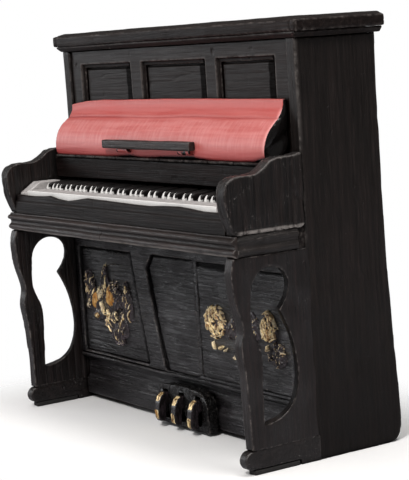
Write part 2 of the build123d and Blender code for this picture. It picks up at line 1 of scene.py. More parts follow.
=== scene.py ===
"""An upright piano with carved black paint, a red fallboard, painted keys and gilded ornaments.

The keyboard faces -Y, +X is the player's right and +Z is up, with the feet on z = 0.
Pieces are shaped at rest in millimetres, then scaled to metres and put on their bodies.
"""
import json
import math
from itertools import product

import bmesh
import bpy
import numpy as np
from mathutils import Matrix, Vector


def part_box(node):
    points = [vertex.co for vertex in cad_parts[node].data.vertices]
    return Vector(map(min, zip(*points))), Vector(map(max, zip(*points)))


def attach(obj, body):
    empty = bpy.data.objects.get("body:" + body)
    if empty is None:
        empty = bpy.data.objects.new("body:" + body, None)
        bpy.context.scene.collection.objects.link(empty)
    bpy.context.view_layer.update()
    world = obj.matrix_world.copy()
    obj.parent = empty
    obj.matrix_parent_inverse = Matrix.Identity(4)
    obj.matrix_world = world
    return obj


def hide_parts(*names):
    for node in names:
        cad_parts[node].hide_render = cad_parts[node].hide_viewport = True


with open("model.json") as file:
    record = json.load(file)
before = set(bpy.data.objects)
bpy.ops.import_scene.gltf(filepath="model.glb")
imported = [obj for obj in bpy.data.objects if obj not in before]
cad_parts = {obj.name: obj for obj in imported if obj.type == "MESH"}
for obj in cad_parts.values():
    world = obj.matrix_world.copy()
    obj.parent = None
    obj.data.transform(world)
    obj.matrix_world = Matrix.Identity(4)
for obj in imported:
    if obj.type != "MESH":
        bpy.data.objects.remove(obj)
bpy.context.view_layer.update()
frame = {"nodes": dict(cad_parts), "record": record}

scene = bpy.context.scene
MM = 0.001


def mm_box(node):
    low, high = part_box(node)
    return np.array(low) / MM, np.array(high) / MM


# Planes that the details are measured from, y in mm
CASE_FRONT = mm_box("right_side_panel")[0][1]      # front edges of the case sides
PANEL_FRONT = mm_box("lower_panel")[0][1]
FIELD_FRONT = mm_box("lower_field_right")[0][1]

BODY_OF = {node: body for body, nodes in frame["record"]["behaviour"]["bodies"].items()
           for node in nodes}


# ------------------------------------------------------------------ noise and falloffs
# A scale is in cells per mm, as one number or one per axis.
def hash_cells(cells, seed):
    """A repeatable value in 0..1 for each integer cell (n, 3)."""
    ix, iy, iz = cells.T
    h = (ix * 374761393 + iy * 668265263 + iz * 1442695041 + seed * 974634777) & 0xFFFFFFFF
    h = ((h ^ (h >> 13)) * 1274126177) & 0xFFFFFFFF
    h = ((h ^ (h >> 15)) * 668265263) & 0xFFFFFFFF
    return ((h ^ (h >> 16)) & 0xFFFF) / 65535.0


def noise(points, scale, seed):
    """Smooth value noise in -1..1 at points (n, 3)."""
    origin_shift = 517.3
    scaled = np.asarray(points, dtype=np.float64) * np.asarray(scale, dtype=np.float64)
    scaled = scaled + origin_shift
    cell = np.floor(scaled).astype(np.int64)
    part = scaled - cell
    part = part * part * part * (part * (part * 6 - 15) + 10)
    total = 0
    for corner in product((0, 1), repeat=3):
        along_x, along_y, along_z = [part[:, axis] if far else 1 - part[:, axis]
                                     for axis, far in enumerate(corner)]
        total = total + along_x * along_y * along_z * hash_cells(cell + corner, seed)
    return total * 2 - 1


def fbm(points, scale, seed, octaves):
    """Noise summed over octaves, each twice as fine and half as strong."""
    scale = np.asarray(scale, dtype=float)
    total, strength, strength_sum = 0, 1.0, 0
    for k in range(octaves):
        total = total + strength * noise(points, scale * 2 ** k, seed + 31 * k)
        strength_sum += strength
        strength *= 0.5
    return total / strength_sum


def smooth(start, end, value):
    """Eases from 0 at start to 1 at end; start may be the larger."""
    t = np.clip((value - start) / (end - start), 0, 1)
    return t * t * (3 - 2 * t)


def bell(offset, width):
    return np.exp(-(offset / width) ** 2)


def grooves(points, scale, seed, sharp, share):
    """Thin knife cuts, 0..1: narrow valleys of a stretched noise, present only in patches."""
    valley = np.abs(noise(points, scale, seed))
    cut = np.clip(1 - valley / sharp, 0, 1) ** 1.5
    spread = noise(points, np.asarray(scale) * 0.23, seed + 7) * 0.5 + 0.5
    return cut * smooth(share - 0.35, share + 0.25, spread)


# ------------------------------------------------------------------ mesh helpers
def link(obj):
    scene.collection.objects.link(obj)
    return obj


def mesh_from(name, verts, faces):
    mesh = bpy.data.meshes.new(name)
    mesh.from_pydata([tuple(vert) for vert in verts], [], faces)
    mesh.update()
    return mesh


def edit(mesh, operator, **options):
    """Runs a bmesh operator on a mesh; a 'verts' or 'faces' option of None means all of them."""
    bm = bmesh.new()
    bm.from_mesh(mesh)
    for key in ("verts", "faces"):
        if key in options:
            options[key] = getattr(bm, key)
    operator(bm, **options)
    bm.to_mesh(mesh)
    bm.free()


def remesh(mesh, voxel, soften):
    """Voxel skin of a mesh, with its edges softened."""
    source = link(bpy.data.objects.new("tmp_remesh", mesh))
    voxels = source.modifiers.new("voxels", "REMESH")
    voxels.mode = "VOXEL"
    voxels.voxel_size = voxel
    voxels.adaptivity = 0
    softening = source.modifiers.new("softening", "SMOOTH")
    softening.factor = 0.5
    softening.iterations = soften
    depsgraph = bpy.context.evaluated_depsgraph_get()
    depsgraph.update()
    result = bpy.data.meshes.new_from_object(source.evaluated_get(depsgraph))
    bpy.data.objects.remove(source)
    return result


def coords(mesh):
    flat = np.empty(len(mesh.vertices) * 3)
    mesh.vertices.foreach_get("co", flat)
    return flat.reshape(-1, 3)


def normals(mesh):
    flat = np.empty(len(mesh.vertices) * 3, dtype=np.float32)
    mesh.vertex_normals.foreach_get("vector", flat)
    return flat.reshape(-1, 3).astype(float)


def set_coords(mesh, points):
    mesh.vertices.foreach_set("co", np.asarray(points, dtype=np.float64).reshape(-1))
    mesh.update()


def mark(mesh, **layers):
    """Stores one float per vertex for each named layer; the paints read them."""
    for name, values in layers.items():
        layer = mesh.attributes.new(name, "FLOAT", "POINT")
        layer.data.foreach_set("value", np.asarray(values, dtype=np.float32))


def finish_piece(mesh, name, node, material, flat=False):
    """Scales a mesh to metres and puts it on its body in place of its CAD node."""
    set_coords(mesh, coords(mesh) * MM)
    mesh.materials.clear()
    mesh.materials.append(MATERIALS[material])
    mesh.polygons.foreach_set("use_smooth", [not flat] * len(mesh.polygons))
    mesh.update()
    piece = link(bpy.data.objects.new(name, mesh))
    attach(piece, BODY_OF[node])
    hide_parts(node)


# ------------------------------------------------------------------ materials
def srgb(*levels):
    """Linear colour from sRGB levels in 0..255."""
    return tuple(((c / 255 + 0.055) / 1.055) ** 2.4 if c > 10 else c / 255 / 12.92
                 for c in levels)


def scaled(tone, *factors):
    return tuple(level * factor for level, factor in zip(tone, factors))


def raised(tone, *steps):
    return tuple(level + step for level, step in zip(tone, steps))


class Graph:
    """A new material's node tree around a Principled shader. Masks run 0..1, tones 0..255."""

    def __init__(self, name):
        self.material = bpy.data.materials.new(name)
        self.material.use_nodes = True
        self.tree = self.material.node_tree
        self.tree.nodes.clear()
        self.output = self.node("OutputMaterial")
        self.bsdf = self.node("BsdfPrincipled")
        self.feed(self.output.inputs[0], self.bsdf.outputs[0])
        self.place = self.node("TexCoord").outputs["Object"]

    def node(self, kind):
        return self.tree.nodes.new("ShaderNode" + kind)

    def feed(self, socket, value):
        if isinstance(value, bpy.types.NodeSocket):
            self.tree.links.new(value, socket)
        else:
            socket.default_value = value

    def shade(self, inputs):
        for name, value in inputs.items():
            self.feed(self.bsdf.inputs[name], value)

    def math(self, operation, first, second=None, clamp=False):
        node = self.node("Math")
        node.operation = operation
        node.use_clamp = clamp
        self.feed(node.inputs[0], first)
        if second is not None:
            self.feed(node.inputs[1], second)
        return node.outputs[0]

    def times(self, first, second):
        return self.math("MULTIPLY", first, second)

    def plus(self, first, second):
        return self.math("ADD", first, second)

    def minus(self, first, second, clamp=False):
        return self.math("SUBTRACT", first, second, clamp)

    def jitter(self, value, texture, amount):
        """Shifts a value both ways by a noise centred on 0.5."""
        return self.plus(value, self.times(self.minus(texture, 0.5), amount))

    def noise(self, cells, size=1.0, detail=3.0, rough=0.5, shift=(0, 0, 0), distort=0.0):
        """Noise of about 0..1 with so many cells per mm, in all or along each axis."""
        if not isinstance(cells, tuple):
            cells = (cells,) * 3
        mapping = self.node("Mapping")
        mapping.inputs["Location"].default_value = shift
        mapping.inputs["Scale"].default_value = tuple(count / MM for count in cells)
        self.feed(mapping.inputs["Vector"], self.place)
        node = self.node("TexNoise")
        node.inputs["Scale"].default_value = size
        node.inputs["Detail"].default_value = detail
        node.inputs["Roughness"].default_value = rough
        node.inputs["Distortion"].default_value = distort
        self.feed(node.inputs["Vector"], mapping.outputs[0])
        return node.outputs[0]

    def ramp(self, value, over, to=(0.0, 1.0)):
        """Eases between the two 'to' values as the input crosses 'over'."""
        node = self.node("MapRange")
        node.interpolation_type = "SMOOTHSTEP"
        self.feed(node.inputs["Value"], value)
        node.inputs["From Min"].default_value, node.inputs["From Max"].default_value = over
        node.inputs["To Min"].default_value, node.inputs["To Max"].default_value = to
        return node.outputs[0]

    def mix(self, amount, first, second):
        """Blends two linear colours, given as sockets or RGB."""
        node = self.node("Mix")
        node.data_type = "RGBA"
        self.feed(node.inputs[0], amount)
        for socket, value in ((node.inputs[6], first), (node.inputs[7], second)):
            self.feed(socket, value + (1.0,) if isinstance(value, tuple) else value)
        return node.outputs[2]

    def tint(self, base, mask, tone, strength=None):
        """Lays a tone over the base colour where the mask is high."""
        if strength is not None:
            mask = self.times(mask, strength)
        return self.mix(mask, base, srgb(*tone))

    def layer(self, name):
        """A vertex layer stored with mark()."""
        node = self.node("Attribute")
        node.attribute_name = name
        return node.outputs["Fac"]

    def edges(self, over):
        """Convex edges for a rising span over 0.5, hollows for a falling one under it."""
        return self.ramp(self.node("NewGeometry").outputs["Pointiness"], over)

    def crevice(self):
        """0 in tight inner corners, 1 on open faces."""
        node = self.node("AmbientOcclusion")
        node.samples = 6
        node.inputs["Distance"].default_value = 2.2 * MM
        return self.ramp(node.outputs["AO"], over=(0.35, 0.85))

    def xyz(self):
        """Position in millimetres, as three sockets."""
        split = self.node("SeparateXYZ")
        scale = self.node("VectorMath")
        scale.operation = "SCALE"
        scale.inputs[3].default_value = 1 / MM
        self.feed(scale.inputs[0], self.place)
        self.feed(split.inputs[0], scale.outputs[0])
        return split.outputs

    def bump(self, height, strength, distance, onto="Normal"):
        """Relief with its distance in mm."""
        node = self.node("Bump")
        node.inputs["Strength"].default_value = strength
        node.inputs["Distance"].default_value = distance * MM
        self.feed(node.inputs["Height"], height)
        self.feed(self.bsdf.inputs[onto], node.outputs[0])


GRAIN = {  # cells per mm along x, y, z for a brushed grain running along that axis
    "x": (0.055, 1.7, 1.7),
    "y": (1.7, 0.055, 1.7),
    "z": (1.7, 1.7, 0.055),
    None: (0.9, 0.9, 0.9),
}


def black_paint(name, grain, tone, streak, spec, coat, rough=(0.36, 0.60), bump=0.8,
                glints=0.5, hairs=0.4, sparkle=0.0, coarse=0.0):
    """Brushed black paint under a patchy gloss coat.

    glints scales the painted glints on edges, hairs the pale brush lines, sparkle the painted
    glint specks and coarse the scratches. Layers: calm hides the edge glints, the highlight
    layer paints highlights on edges and the shade layer paints shade.
    and coarse the scratches. Layers: calm hides scuffs, trim pales and wash darkens.
    """
    g = Graph("black_paint_" + name)
    cells = GRAIN[grain]
    fine = g.noise(cells, size=1.9, detail=5, rough=0.66)
    wide = g.noise(cells, size=0.55, shift=(3.1, 7.7, 1.3))
    blotch = g.noise(0.11, shift=(9.1, 2.7, 5.3))
    colour = g.mix(g.ramp(wide, over=(0.38, 0.72)), srgb(*tone), srgb(*streak))
    hair = g.times(g.ramp(fine, over=(0.54, 0.68)), g.ramp(blotch, over=(0.32, 0.62)))
    colour = g.tint(colour, hair, scaled(streak, 2.1, 2.05, 2.1), strength=hairs)
    trough = g.ramp(fine, over=(0.46, 0.34))
    colour = g.tint(colour, trough, scaled(tone, 0.4, 0.35, 0.35), strength=0.7)
    dull = g.ramp(blotch, over=(0.45, 0.75), to=(0.0, 0.55))
    colour = g.tint(colour, dull, scaled(tone, 0.62, 0.6, 0.6))

    # painted glints on convex edges, broken into patches by noise and hidden where calm is set
    edge = g.edges(over=(0.508, 0.56))
    glint_breakup = g.ramp(g.noise(0.7, detail=4, rough=0.7, shift=(1, 2, 3)), over=(0.42, 0.70))
    edge_glint = g.times(g.times(edge, glint_breakup), g.minus(1.0, g.layer("calm")))
    colour = g.tint(colour, edge_glint, (130, 122, 118), strength=0.5 * glints)
    if sparkle:
        # painted glint specks
        spots = g.noise(1.5, rough=0.75, shift=(8, 6, 4))
        glint_specks = g.times(g.ramp(spots, over=(0.62, 0.70)), g.ramp(blotch, over=(0.46, 0.60)))
        colour = g.tint(colour, glint_specks, (150, 146, 144), strength=sparkle)
    # painted highlight along edges where the highlight layer is set, broken into patches
    patches = g.ramp(g.noise(0.45, rough=0.6, shift=(2, 9, 3)), over=(0.26, 0.56))
    colour = g.tint(colour, g.times(g.layer("trim"), patches), (138, 132, 129), strength=0.8)
    # painted shade in tight corners, from ambient occlusion, and where the shade layer is set
    open_face = g.times(g.crevice(), g.minus(1.0, g.layer("wash")))
    colour = g.mix(open_face, srgb(*scaled(tone, 0.3, 0.28, 0.28)), colour)

    roughness = g.minus(g.ramp(fine, over=(0.3, 0.72), to=rough), g.times(edge_glint, 0.12),
                        clamp=True)
    height = g.plus(g.times(fine, 0.8), g.times(wide, 0.9))
    pits = g.ramp(g.noise(1.1, detail=2, shift=(4, 4, 4)), over=(0.66, 0.78))
    height = g.minus(height, g.times(pits, 0.5))
    if coarse:
        scratch = g.noise(scaled(cells, 0.8, 0.8, 0.8), detail=4, rough=0.7, shift=(5, 9, 2),
                          distort=0.6)
        ridge = g.math("ABSOLUTE", g.minus(scratch, 0.5))
        height = g.plus(height, g.times(ridge, -3.0 * coarse))
    g.bump(height, strength=bump, distance=0.2)

    # the top coat pools and catches the light in small glints
    ripple = g.noise(scaled(cells, 0.55, 0.55, 0.55), size=1.3, rough=0.6, shift=(6, 2, 7),
                     distort=0.5)
    g.bump(g.plus(ripple, g.times(fine, 0.35)), strength=1.0, distance=0.34,
           onto="Coat Normal")
    pooled = g.ramp(blotch, over=(0.38, 0.62), to=(0.25, 1.0))
    g.shade({
        "Base Color": colour,
        "Roughness": roughness,
        "Specular IOR Level": g.ramp(open_face, over=(0.0, 1.0), to=(0.12 * spec, spec)),
        "Coat Roughness": 0.16,
        "Coat Weight": g.times(g.times(open_face, pooled), coat),
    })
    return g.material


def red_paint(name, patchy=False):
    """Brushed red over black. The red shows in the 'red' layer, or in patches if patchy."""
    g = Graph(name)
    z = g.xyz()[2]
    strokes = g.noise((0.045, 0.5, 0.9), detail=5, rough=0.62)
    broad = g.noise((0.03, 0.2, 0.22), shift=(5.2, 1.1, 8.8))
    cross = g.noise((1.1, 0.3, 0.12), detail=4, rough=0.6, shift=(2.2, 6.1, 0.8))
    colour = g.mix(g.ramp(strokes, over=(0.30, 0.70)), srgb(168, 72, 68), srgb(185, 103, 99))
    colour = g.tint(colour, g.ramp(broad, over=(0.52, 0.74), to=(0.0, 0.7)), (178, 72, 68))
    colour = g.tint(colour, g.ramp(cross, over=(0.55, 0.80), to=(0.0, 0.26)), (196, 134, 132))
    # deeper red low down and in a band near the top, paler between them
    colour = g.tint(colour, g.ramp(z, over=(85.2, 82.0)), (160, 58, 60), strength=0.55)
    upper = g.times(g.ramp(z, over=(93.0, 94.2)), g.ramp(z, over=(96.8, 96.2)))
    colour = g.tint(colour, upper, (176, 78, 74), strength=0.55)
    belly = g.times(g.ramp(z, over=(92.4, 91.2)), g.ramp(z, over=(83.5, 86.0)))
    streaks = g.ramp(cross, over=(0.35, 0.65), to=(0.15, 0.45))
    colour = g.tint(colour, g.times(belly, streaks), (200, 138, 136))
    # painted highlight on convex edges
    colour = g.tint(colour, g.edges(over=(0.54, 0.62)), (214, 168, 166), strength=0.3)
    colour = g.tint(colour, g.layer("edge_light"), (226, 158, 156), strength=0.75)
    # painted shade along the carved crease and in hollows
    filled = g.ramp(broad, over=(0.35, 0.6), to=(0.25, 0.7))
    colour = g.tint(colour, g.times(g.layer("crease"), filled), (138, 50, 50))
    colour = g.tint(colour, g.edges(over=(0.485, 0.44)), (120, 34, 36), strength=0.5)

    if patchy:
        patches = g.noise(0.5, detail=2, shift=(3, 2, 9))
        red = g.ramp(patches, over=(0.44, 0.56), to=(-0.3, 0.7))
    else:
        red = g.layer("red")
    mask = g.ramp(g.jitter(red, g.noise(0.8, rough=0.6), amount=0.5), over=(-0.06, 0.06))
    stain = g.mix(g.ramp(red, over=(0.0, 0.9)), srgb(96, 20, 24), colour)
    g.shade({
        "Base Color": g.mix(mask, srgb(11, 9, 9), stain),
        "Roughness": g.plus(g.ramp(mask, over=(0, 1), to=(0.16, 0.46)),
                            g.ramp(strokes, over=(0.3, 0.7), to=(-0.05, 0.08))),
    })
    g.bump(g.plus(g.times(strokes, 0.8), g.times(cross, 0.4)), strength=0.35, distance=0.12)
    return g.material


def key_paint(name):
    """Off-white where the 'ink' layer is above 0, black elsewhere; 'bright' paints a highlight on
    it.
    """
    g = Graph(name)
    grain = g.noise((0.9, 0.5, 0.9), detail=4, rough=0.6)
    thin = g.noise((0.16, 0.3, 0.3), shift=(4, 1, 2))
    pale = g.mix(g.ramp(grain, over=(0.3, 0.7)), srgb(142, 138, 137), srgb(172, 169, 168))
    pale = g.tint(pale, g.ramp(thin, over=(0.55, 0.8), to=(0.0, 0.6)), (132, 127, 126))
    # painted highlight on convex edges, and on the front faces where 'bright' is set
    pale = g.tint(pale, g.edges(over=(0.52, 0.62)), (226, 225, 223), strength=0.35)
    pale = g.tint(pale, g.layer("bright"), (226, 225, 223), strength=0.8)
    dark = g.mix(g.ramp(grain, over=(0.35, 0.7)), srgb(9, 8, 8), srgb(21, 17, 17))
    ragged = g.noise((1.6, 1.2, 1.6), rough=0.6, shift=(2, 2, 2))
    mask = g.ramp(g.jitter(g.layer("ink"), ragged, amount=0.55), over=(-0.07, 0.07))
    g.shade({
        "Base Color": g.mix(mask, dark, pale),
        "Roughness": g.ramp(mask, over=(0, 1), to=(0.42, 0.5)),
        "Specular IOR Level": 0.25,
    })
    g.bump(grain, strength=0.35, distance=0.10)
    return g.material


def gilded(name, ground):
    """Black ground with gold dragged over it where the 'gold' layer says, some of it ochre, with
    painted highlights on edges and painted shade in hollows.
    """
    g = Graph(name)
    flake = g.noise(2.3, detail=5, rough=0.72)
    warm = g.noise(0.35, detail=2, shift=(6, 1, 8))
    stroke = g.noise((1.4, 1.4, 0.45), detail=4, rough=0.65, shift=(1, 5, 2))
    gold = g.mix(g.ramp(stroke, over=(0.42, 0.58)), srgb(112, 72, 28), srgb(255, 228, 170))
    gold = g.tint(gold, g.ramp(warm, over=(0.55, 0.68), to=(0, 0.85)), (172, 116, 34))
    # painted highlight on convex edges and painted shade in hollows of the gold
    gold = g.tint(gold, g.edges(over=(0.515, 0.60)), (252, 238, 206), strength=0.75)
    gold = g.tint(gold, g.edges(over=(0.50, 0.45)), (58, 38, 20), strength=0.85)
    ochre = g.mix(g.ramp(stroke, over=(0.42, 0.66)), srgb(160, 104, 34), srgb(214, 176, 110))
    gold = g.mix(g.layer("ochre"), gold, ochre)
    mask = g.ramp(g.jitter(g.layer("gold"), flake, amount=2.6), over=(0.50, 0.62))
    base = g.mix(g.ramp(stroke, over=(0.4, 0.7)), srgb(*ground),
                 srgb(*raised(ground, 28, 24, 28)))
    # painted highlight on the ground's edges
    base = g.tint(base, g.edges(over=(0.54, 0.64)), raised(ground, 84, 78, 86), strength=0.7)
    g.shade({
        "Base Color": g.mix(mask, base, gold),
        "Metallic": g.times(mask, 0.35),
        "Roughness": g.ramp(mask, over=(0, 1), to=(0.22, 0.36)),
    })
    g.bump(g.plus(flake, g.times(stroke, 0.6)), strength=0.6, distance=0.14)
    return g.material


def worn_metal(name, tone, bright, brushed):
    """Tarnished metal; brushed holds the cells per mm of its brush lines along x, y, z."""
    g = Graph(name)
    brush = g.noise(brushed, size=1.4, detail=4, rough=0.6)
    tarnish = g.noise(0.5, detail=4, rough=0.6, shift=(2, 8, 1))
    colour = g.mix(g.ramp(brush, over=(0.35, 0.7)), srgb(*tone), srgb(*bright))
    colour = g.tint(colour, g.ramp(tarnish, over=(0.5, 0.72), to=(0, 0.75)), (34, 28, 24))
    colour = g.tint(colour, g.edges(over=(0.52, 0.6)), raised(bright, 40, 40, 40), strength=0.6)
    g.shade({
        "Base Color": colour,
        "Metallic": 0.9,
        "Roughness": g.ramp(tarnish, over=(0.3, 0.7), to=(0.28, 0.55)),
    })
    g.bump(brush, strength=0.3, distance=0.05)
    return g.material


def stained_wood(name):
    """Dark wood with its grain along x."""
    g = Graph(name)
    rings = g.noise(GRAIN["x"], size=0.8, detail=4, rough=0.6, distort=0.4)
    pores = g.noise(GRAIN["x"], size=3.2, rough=0.6, shift=(3, 3, 3))
    colour = g.mix(g.ramp(rings, over=(0.3, 0.72)), srgb(40, 27, 21), srgb(86, 60, 44))
    g.shade({
        "Base Color": g.tint(colour, g.ramp(pores, over=(0.58, 0.7), to=(0, 0.7)), (24, 16, 13)),
        "Roughness": g.ramp(pores, over=(0.3, 0.7), to=(0.55, 0.72)),
    })
    g.bump(g.plus(rings, g.times(pores, -0.6)), strength=0.4, distance=0.1)
    return g.material


def felt(name):
    g = Graph(name)
    fibre = g.noise(3.5, detail=5, rough=0.7)
    g.shade({
        "Base Color": g.mix(g.ramp(fibre, over=(0.3, 0.7)), srgb(16, 15, 15), srgb(40, 38, 37)),
        "Roughness": 0.9,
    })
    g.bump(fibre, strength=0.6, distance=0.12)
    return g.material


MATERIALS = {
    "side": black_paint("upright_grain", "z", tone=(18, 13, 11), streak=(28, 21, 19), spec=0.30,
                        coat=0.10, rough=(0.36, 0.62), bump=1.0, glints=0.9, hairs=0.30),
    "arm": black_paint("arm", "z", tone=(12, 8, 7), streak=(28, 20, 18), spec=0.40, coat=0.22,
                       rough=(0.30, 0.56), bump=1.0, glints=1.1, hairs=0.7, sparkle=0.42,
                       coarse=0.9),
    "front": black_paint("level_grain", "x", tone=(29, 22, 20), streak=(48, 39, 37), spec=0.34,
                         coat=0.16, rough=(0.28, 0.54), bump=1.0, glints=1.0),
    "inset": black_paint("inset", "x", tone=(19, 12, 10), streak=(28, 21, 19), spec=0.17,
                         coat=0.04, rough=(0.40, 0.54), bump=0.45, hairs=0.12),
    "frame": black_paint("panel_frame", "x", tone=(20, 13, 11), streak=(29, 22, 20), spec=0.19,
                         coat=0.05, rough=(0.40, 0.54), bump=0.30, glints=1.0, hairs=0.06,
                         sparkle=0.05),
    "lid": black_paint("lid", "x", tone=(19, 13, 12), streak=(31, 24, 22), spec=0.14, coat=0.10,
                       rough=(0.38, 0.58), bump=1.0, glints=0.9),
    # a darker copy of the level-grain front paint: painted shade under the fallboard
    "name": black_paint("nameboard", "x", tone=(15, 9, 8), streak=(27, 19, 18), spec=0.10,
                        coat=0.04, rough=(0.42, 0.62), hairs=0.3),
    "slip": black_paint("key_slip", "x", tone=(16, 12, 11), streak=(28, 23, 22), spec=0.14,
                        coat=0.05, rough=(0.40, 0.62)),
    "depth": black_paint("cross_grain", "y", tone=(22, 18, 17), streak=(38, 32, 30), spec=0.42,
                         coat=0.25, glints=1.6, sparkle=0.35),
    "lower": black_paint("lower_panel", "x", tone=(15, 12, 13), streak=(31, 28, 31), spec=0.44,
                         coat=0.42, rough=(0.22, 0.46), bump=1.0, glints=1.1, hairs=0.6,
                         coarse=1.2),
    "leg": black_paint("truss", "z", tone=(17, 12, 11), streak=(29, 20, 19), spec=0.40,
                       coat=0.40, rough=(0.26, 0.52), bump=1.0, glints=1.2, hairs=0.45,
                       sparkle=0.16),
    "foot": black_paint("foot", None, tone=(19, 15, 14), streak=(31, 25, 24), spec=0.45,
                        coat=0.25, rough=(0.26, 0.50), bump=1.0, glints=1.2, hairs=0.3,
                        sparkle=0.42),
    "gloss": black_paint("glossy", None, tone=(8, 7, 7), streak=(17, 15, 15), spec=0.36,
                         coat=0.22, rough=(0.14, 0.34), bump=1.0, glints=0.8, sparkle=0.24),
    "red": red_paint("red_brushed_paint"),
    "bracket": red_paint("red_bracket_paint", patchy=True),
    "key": key_paint("white_key_paint"),
    "gilt": gilded("gilded_relief", ground=(34, 30, 31)),
    "gilt_pedal": gilded("gilded_pedal", ground=(17, 14, 14)),
    "brass": worn_metal("blackened_brass", tone=(24, 21, 19), bright=(52, 45, 36),
                        brushed=(0.08, 3.0, 3.0)),
    "steel": worn_metal("dull_steel", tone=(92, 90, 88), bright=(150, 148, 145),
                        brushed=(3.0, 0.08, 3.0)),
    "wood": stained_wood("stained_wood_level"),
    "felt": felt("black_felt_pad"),
}


# ------------------------------------------------------------------ carving
CARVING_GRAIN = {  # cells per mm of the knife cuts along each grain
    "x": (0.045, 0.75, 0.75),
    "y": (0.75, 0.045, 0.75),
    "z": (0.75, 0.75, 0.045),
    None: (0.45, 0.45, 0.45),
}


def carve(points, grain, seed, cut, lumps, chips):
    """Offset along the normal: cuts along the grain, soft lumps and a few chipped spots."""
    scale = CARVING_GRAIN[grain]
    offset = -cut * grooves(points, scale, seed, sharp=0.22, share=0.5)
    offset += cut * 0.35 * noise(points, np.array(scale) * 1.15, seed + 11)
    offset += lumps * fbm(points, 0.12, seed + 5, octaves=2)
    spots = np.clip(noise(points, 0.42, seed + 9) - 0.72, 0, 1) * 3
    offset -= chips * spots
    return offset


def waviness(points, amount):
    """A slow hand-made wave of whole edges, as a vector field."""
    return np.stack([fbm(points, 0.05, 3 + k, octaves=2) for k in range(3)], 1) * amount


def skin(node, material, grain, voxel, seed, cut, lumps, chips=0.10, warp=0.16, soften=2,
         name=None, shape=None, on_floor=False, **shape_options):
    """A carved and painted skin over a CAD node.

    cut, lumps, chips and warp are depths in mm; soften counts smoothing passes. shape is
    called with the rest points, normals, moved points to change in place, and the mesh.
    """
    name = (name or node) + "_visual"
    cad = frame["nodes"][node].data
    faces = [list(polygon.vertices) for polygon in cad.polygons]
    mesh = mesh_from(name, coords(cad) / MM, faces)
    edit(mesh, bmesh.ops.remove_doubles, verts=None, dist=0.002)
    mesh = remesh(mesh, voxel, soften)
    mesh.name = name
    rest, normal = coords(mesh), normals(mesh)
    moved = rest + normal * carve(rest, grain, seed, cut, lumps, chips)[:, None]
    if warp:
        moved = moved + waviness(rest, warp)
    if shape:
        shape(rest, normal, moved, mesh, **shape_options)
    if on_floor:
        moved[:, 2] = np.maximum(moved[:, 2], 0.02)
    set_coords(mesh, moved)
    finish_piece(mesh, name, node, material)


# ------------------------------------------------------------------ sides, arms, trusses, feet
# sign is -1 for the left side and 1 for the right.
def shape_side(rest, normal, moved, mesh, sign):
    """Cuts an upright line near the front edge, paints a highlight on the front corner above the
    arm and paints shade that deepens towards the bottom.
    """
    _, y, z = rest.T
    line = bell(y - (CASE_FRONT + 1.6), 0.28) * (np.abs(normal[:, 0]) > 0.7) * (z > 84)
    moved[:, 0] -= sign * line * 0.10
    corner = smooth(CASE_FRONT + 1.3, CASE_FRONT + 0.3, y) * (z > 84)
    corner = corner * (sign * normal[:, 0] > 0.15)
    # painted highlight on the corner, painted shade towards the bottom, no edge glints low on the
    # front edge
    mark(mesh, trim=0.14 * corner, wash=0.34 * smooth(48, 2, z),
         calm=smooth(62, 58, z) * smooth(CASE_FRONT + 4.0, CASE_FRONT + 2.5, y))


def shape_arm(rest, normal, moved, mesh, sign):
    """Incises a line inside the rear and bottom edges of the outer face, and paints a highlight
    along the bottom edge and on the top.
    """
    _, y, z = rest.T
    depth = y - CASE_FRONT
    outward = sign * normal[:, 0]
    rear = bell(depth + 1.1, 0.22)
    bottom = bell(z - 65.0 - 0.3 * noise(rest, (0, 0.2, 0), 4), 0.22)
    moved[:, 0] -= sign * 0.14 * (np.maximum(rear, bottom) * (outward > 0.6))
    low = smooth(64.9, 64.5, z) * smooth(-22.5, -20.5, depth)
    top = 0.35 * smooth(0.35, 0.8, normal[:, 2]) * (outward > 0.05)
    # painted highlight along the bottom edge and on upward faces; no edge glints at the rear
    mark(mesh, trim=np.clip(0.95 * low * (outward > 0.2) + top, 0, 1),
         calm=smooth(-2.0, -1.0, depth))


def bridge_to_side(moved, depth):
    """Carries the rear of a piece back over its joint with the side panel."""
    moved[:, 1] += 0.9 * smooth(-0.9, -0.1, depth)


def shape_truss(rest, normal, moved, mesh, sign):
    """Splays the opening towards the rear on its -X side and paints shade on its forward-facing
    wall.
    """
    x, y, z = rest.T
    depth = y - CASE_FRONT
    inner = (62.5 - x) / 3.5 if sign > 0 else (-59.0 - x) / 3.5
    opening = smooth(-14.5, -11.0, depth) * smooth(0.0, -3.0, depth)
    opening = opening * smooth(9.0, 15.0, z) * smooth(57.5, 53.0, z)
    moved[:, 1] += 1.4 * np.clip(inner, 0, 1) * opening
    bridge_to_side(moved, depth)
    # painted shade inside the opening; no edge glints near the joint with the side
    mark(mesh, wash=0.85 * opening * smooth(-0.25, -0.6, normal[:, 1]),
         calm=smooth(-3.0, -1.6, depth))


def shape_foot(rest, normal, moved, mesh):
    """Raises the top of the foot behind its toe."""
    depth = rest[:, 1] - CASE_FRONT
    bridge_to_side(moved, depth)
    moved[:, 2] += 0.8 * smooth(5.9, 6.5, rest[:, 2]) * smooth(-20.6, -19.6, depth)


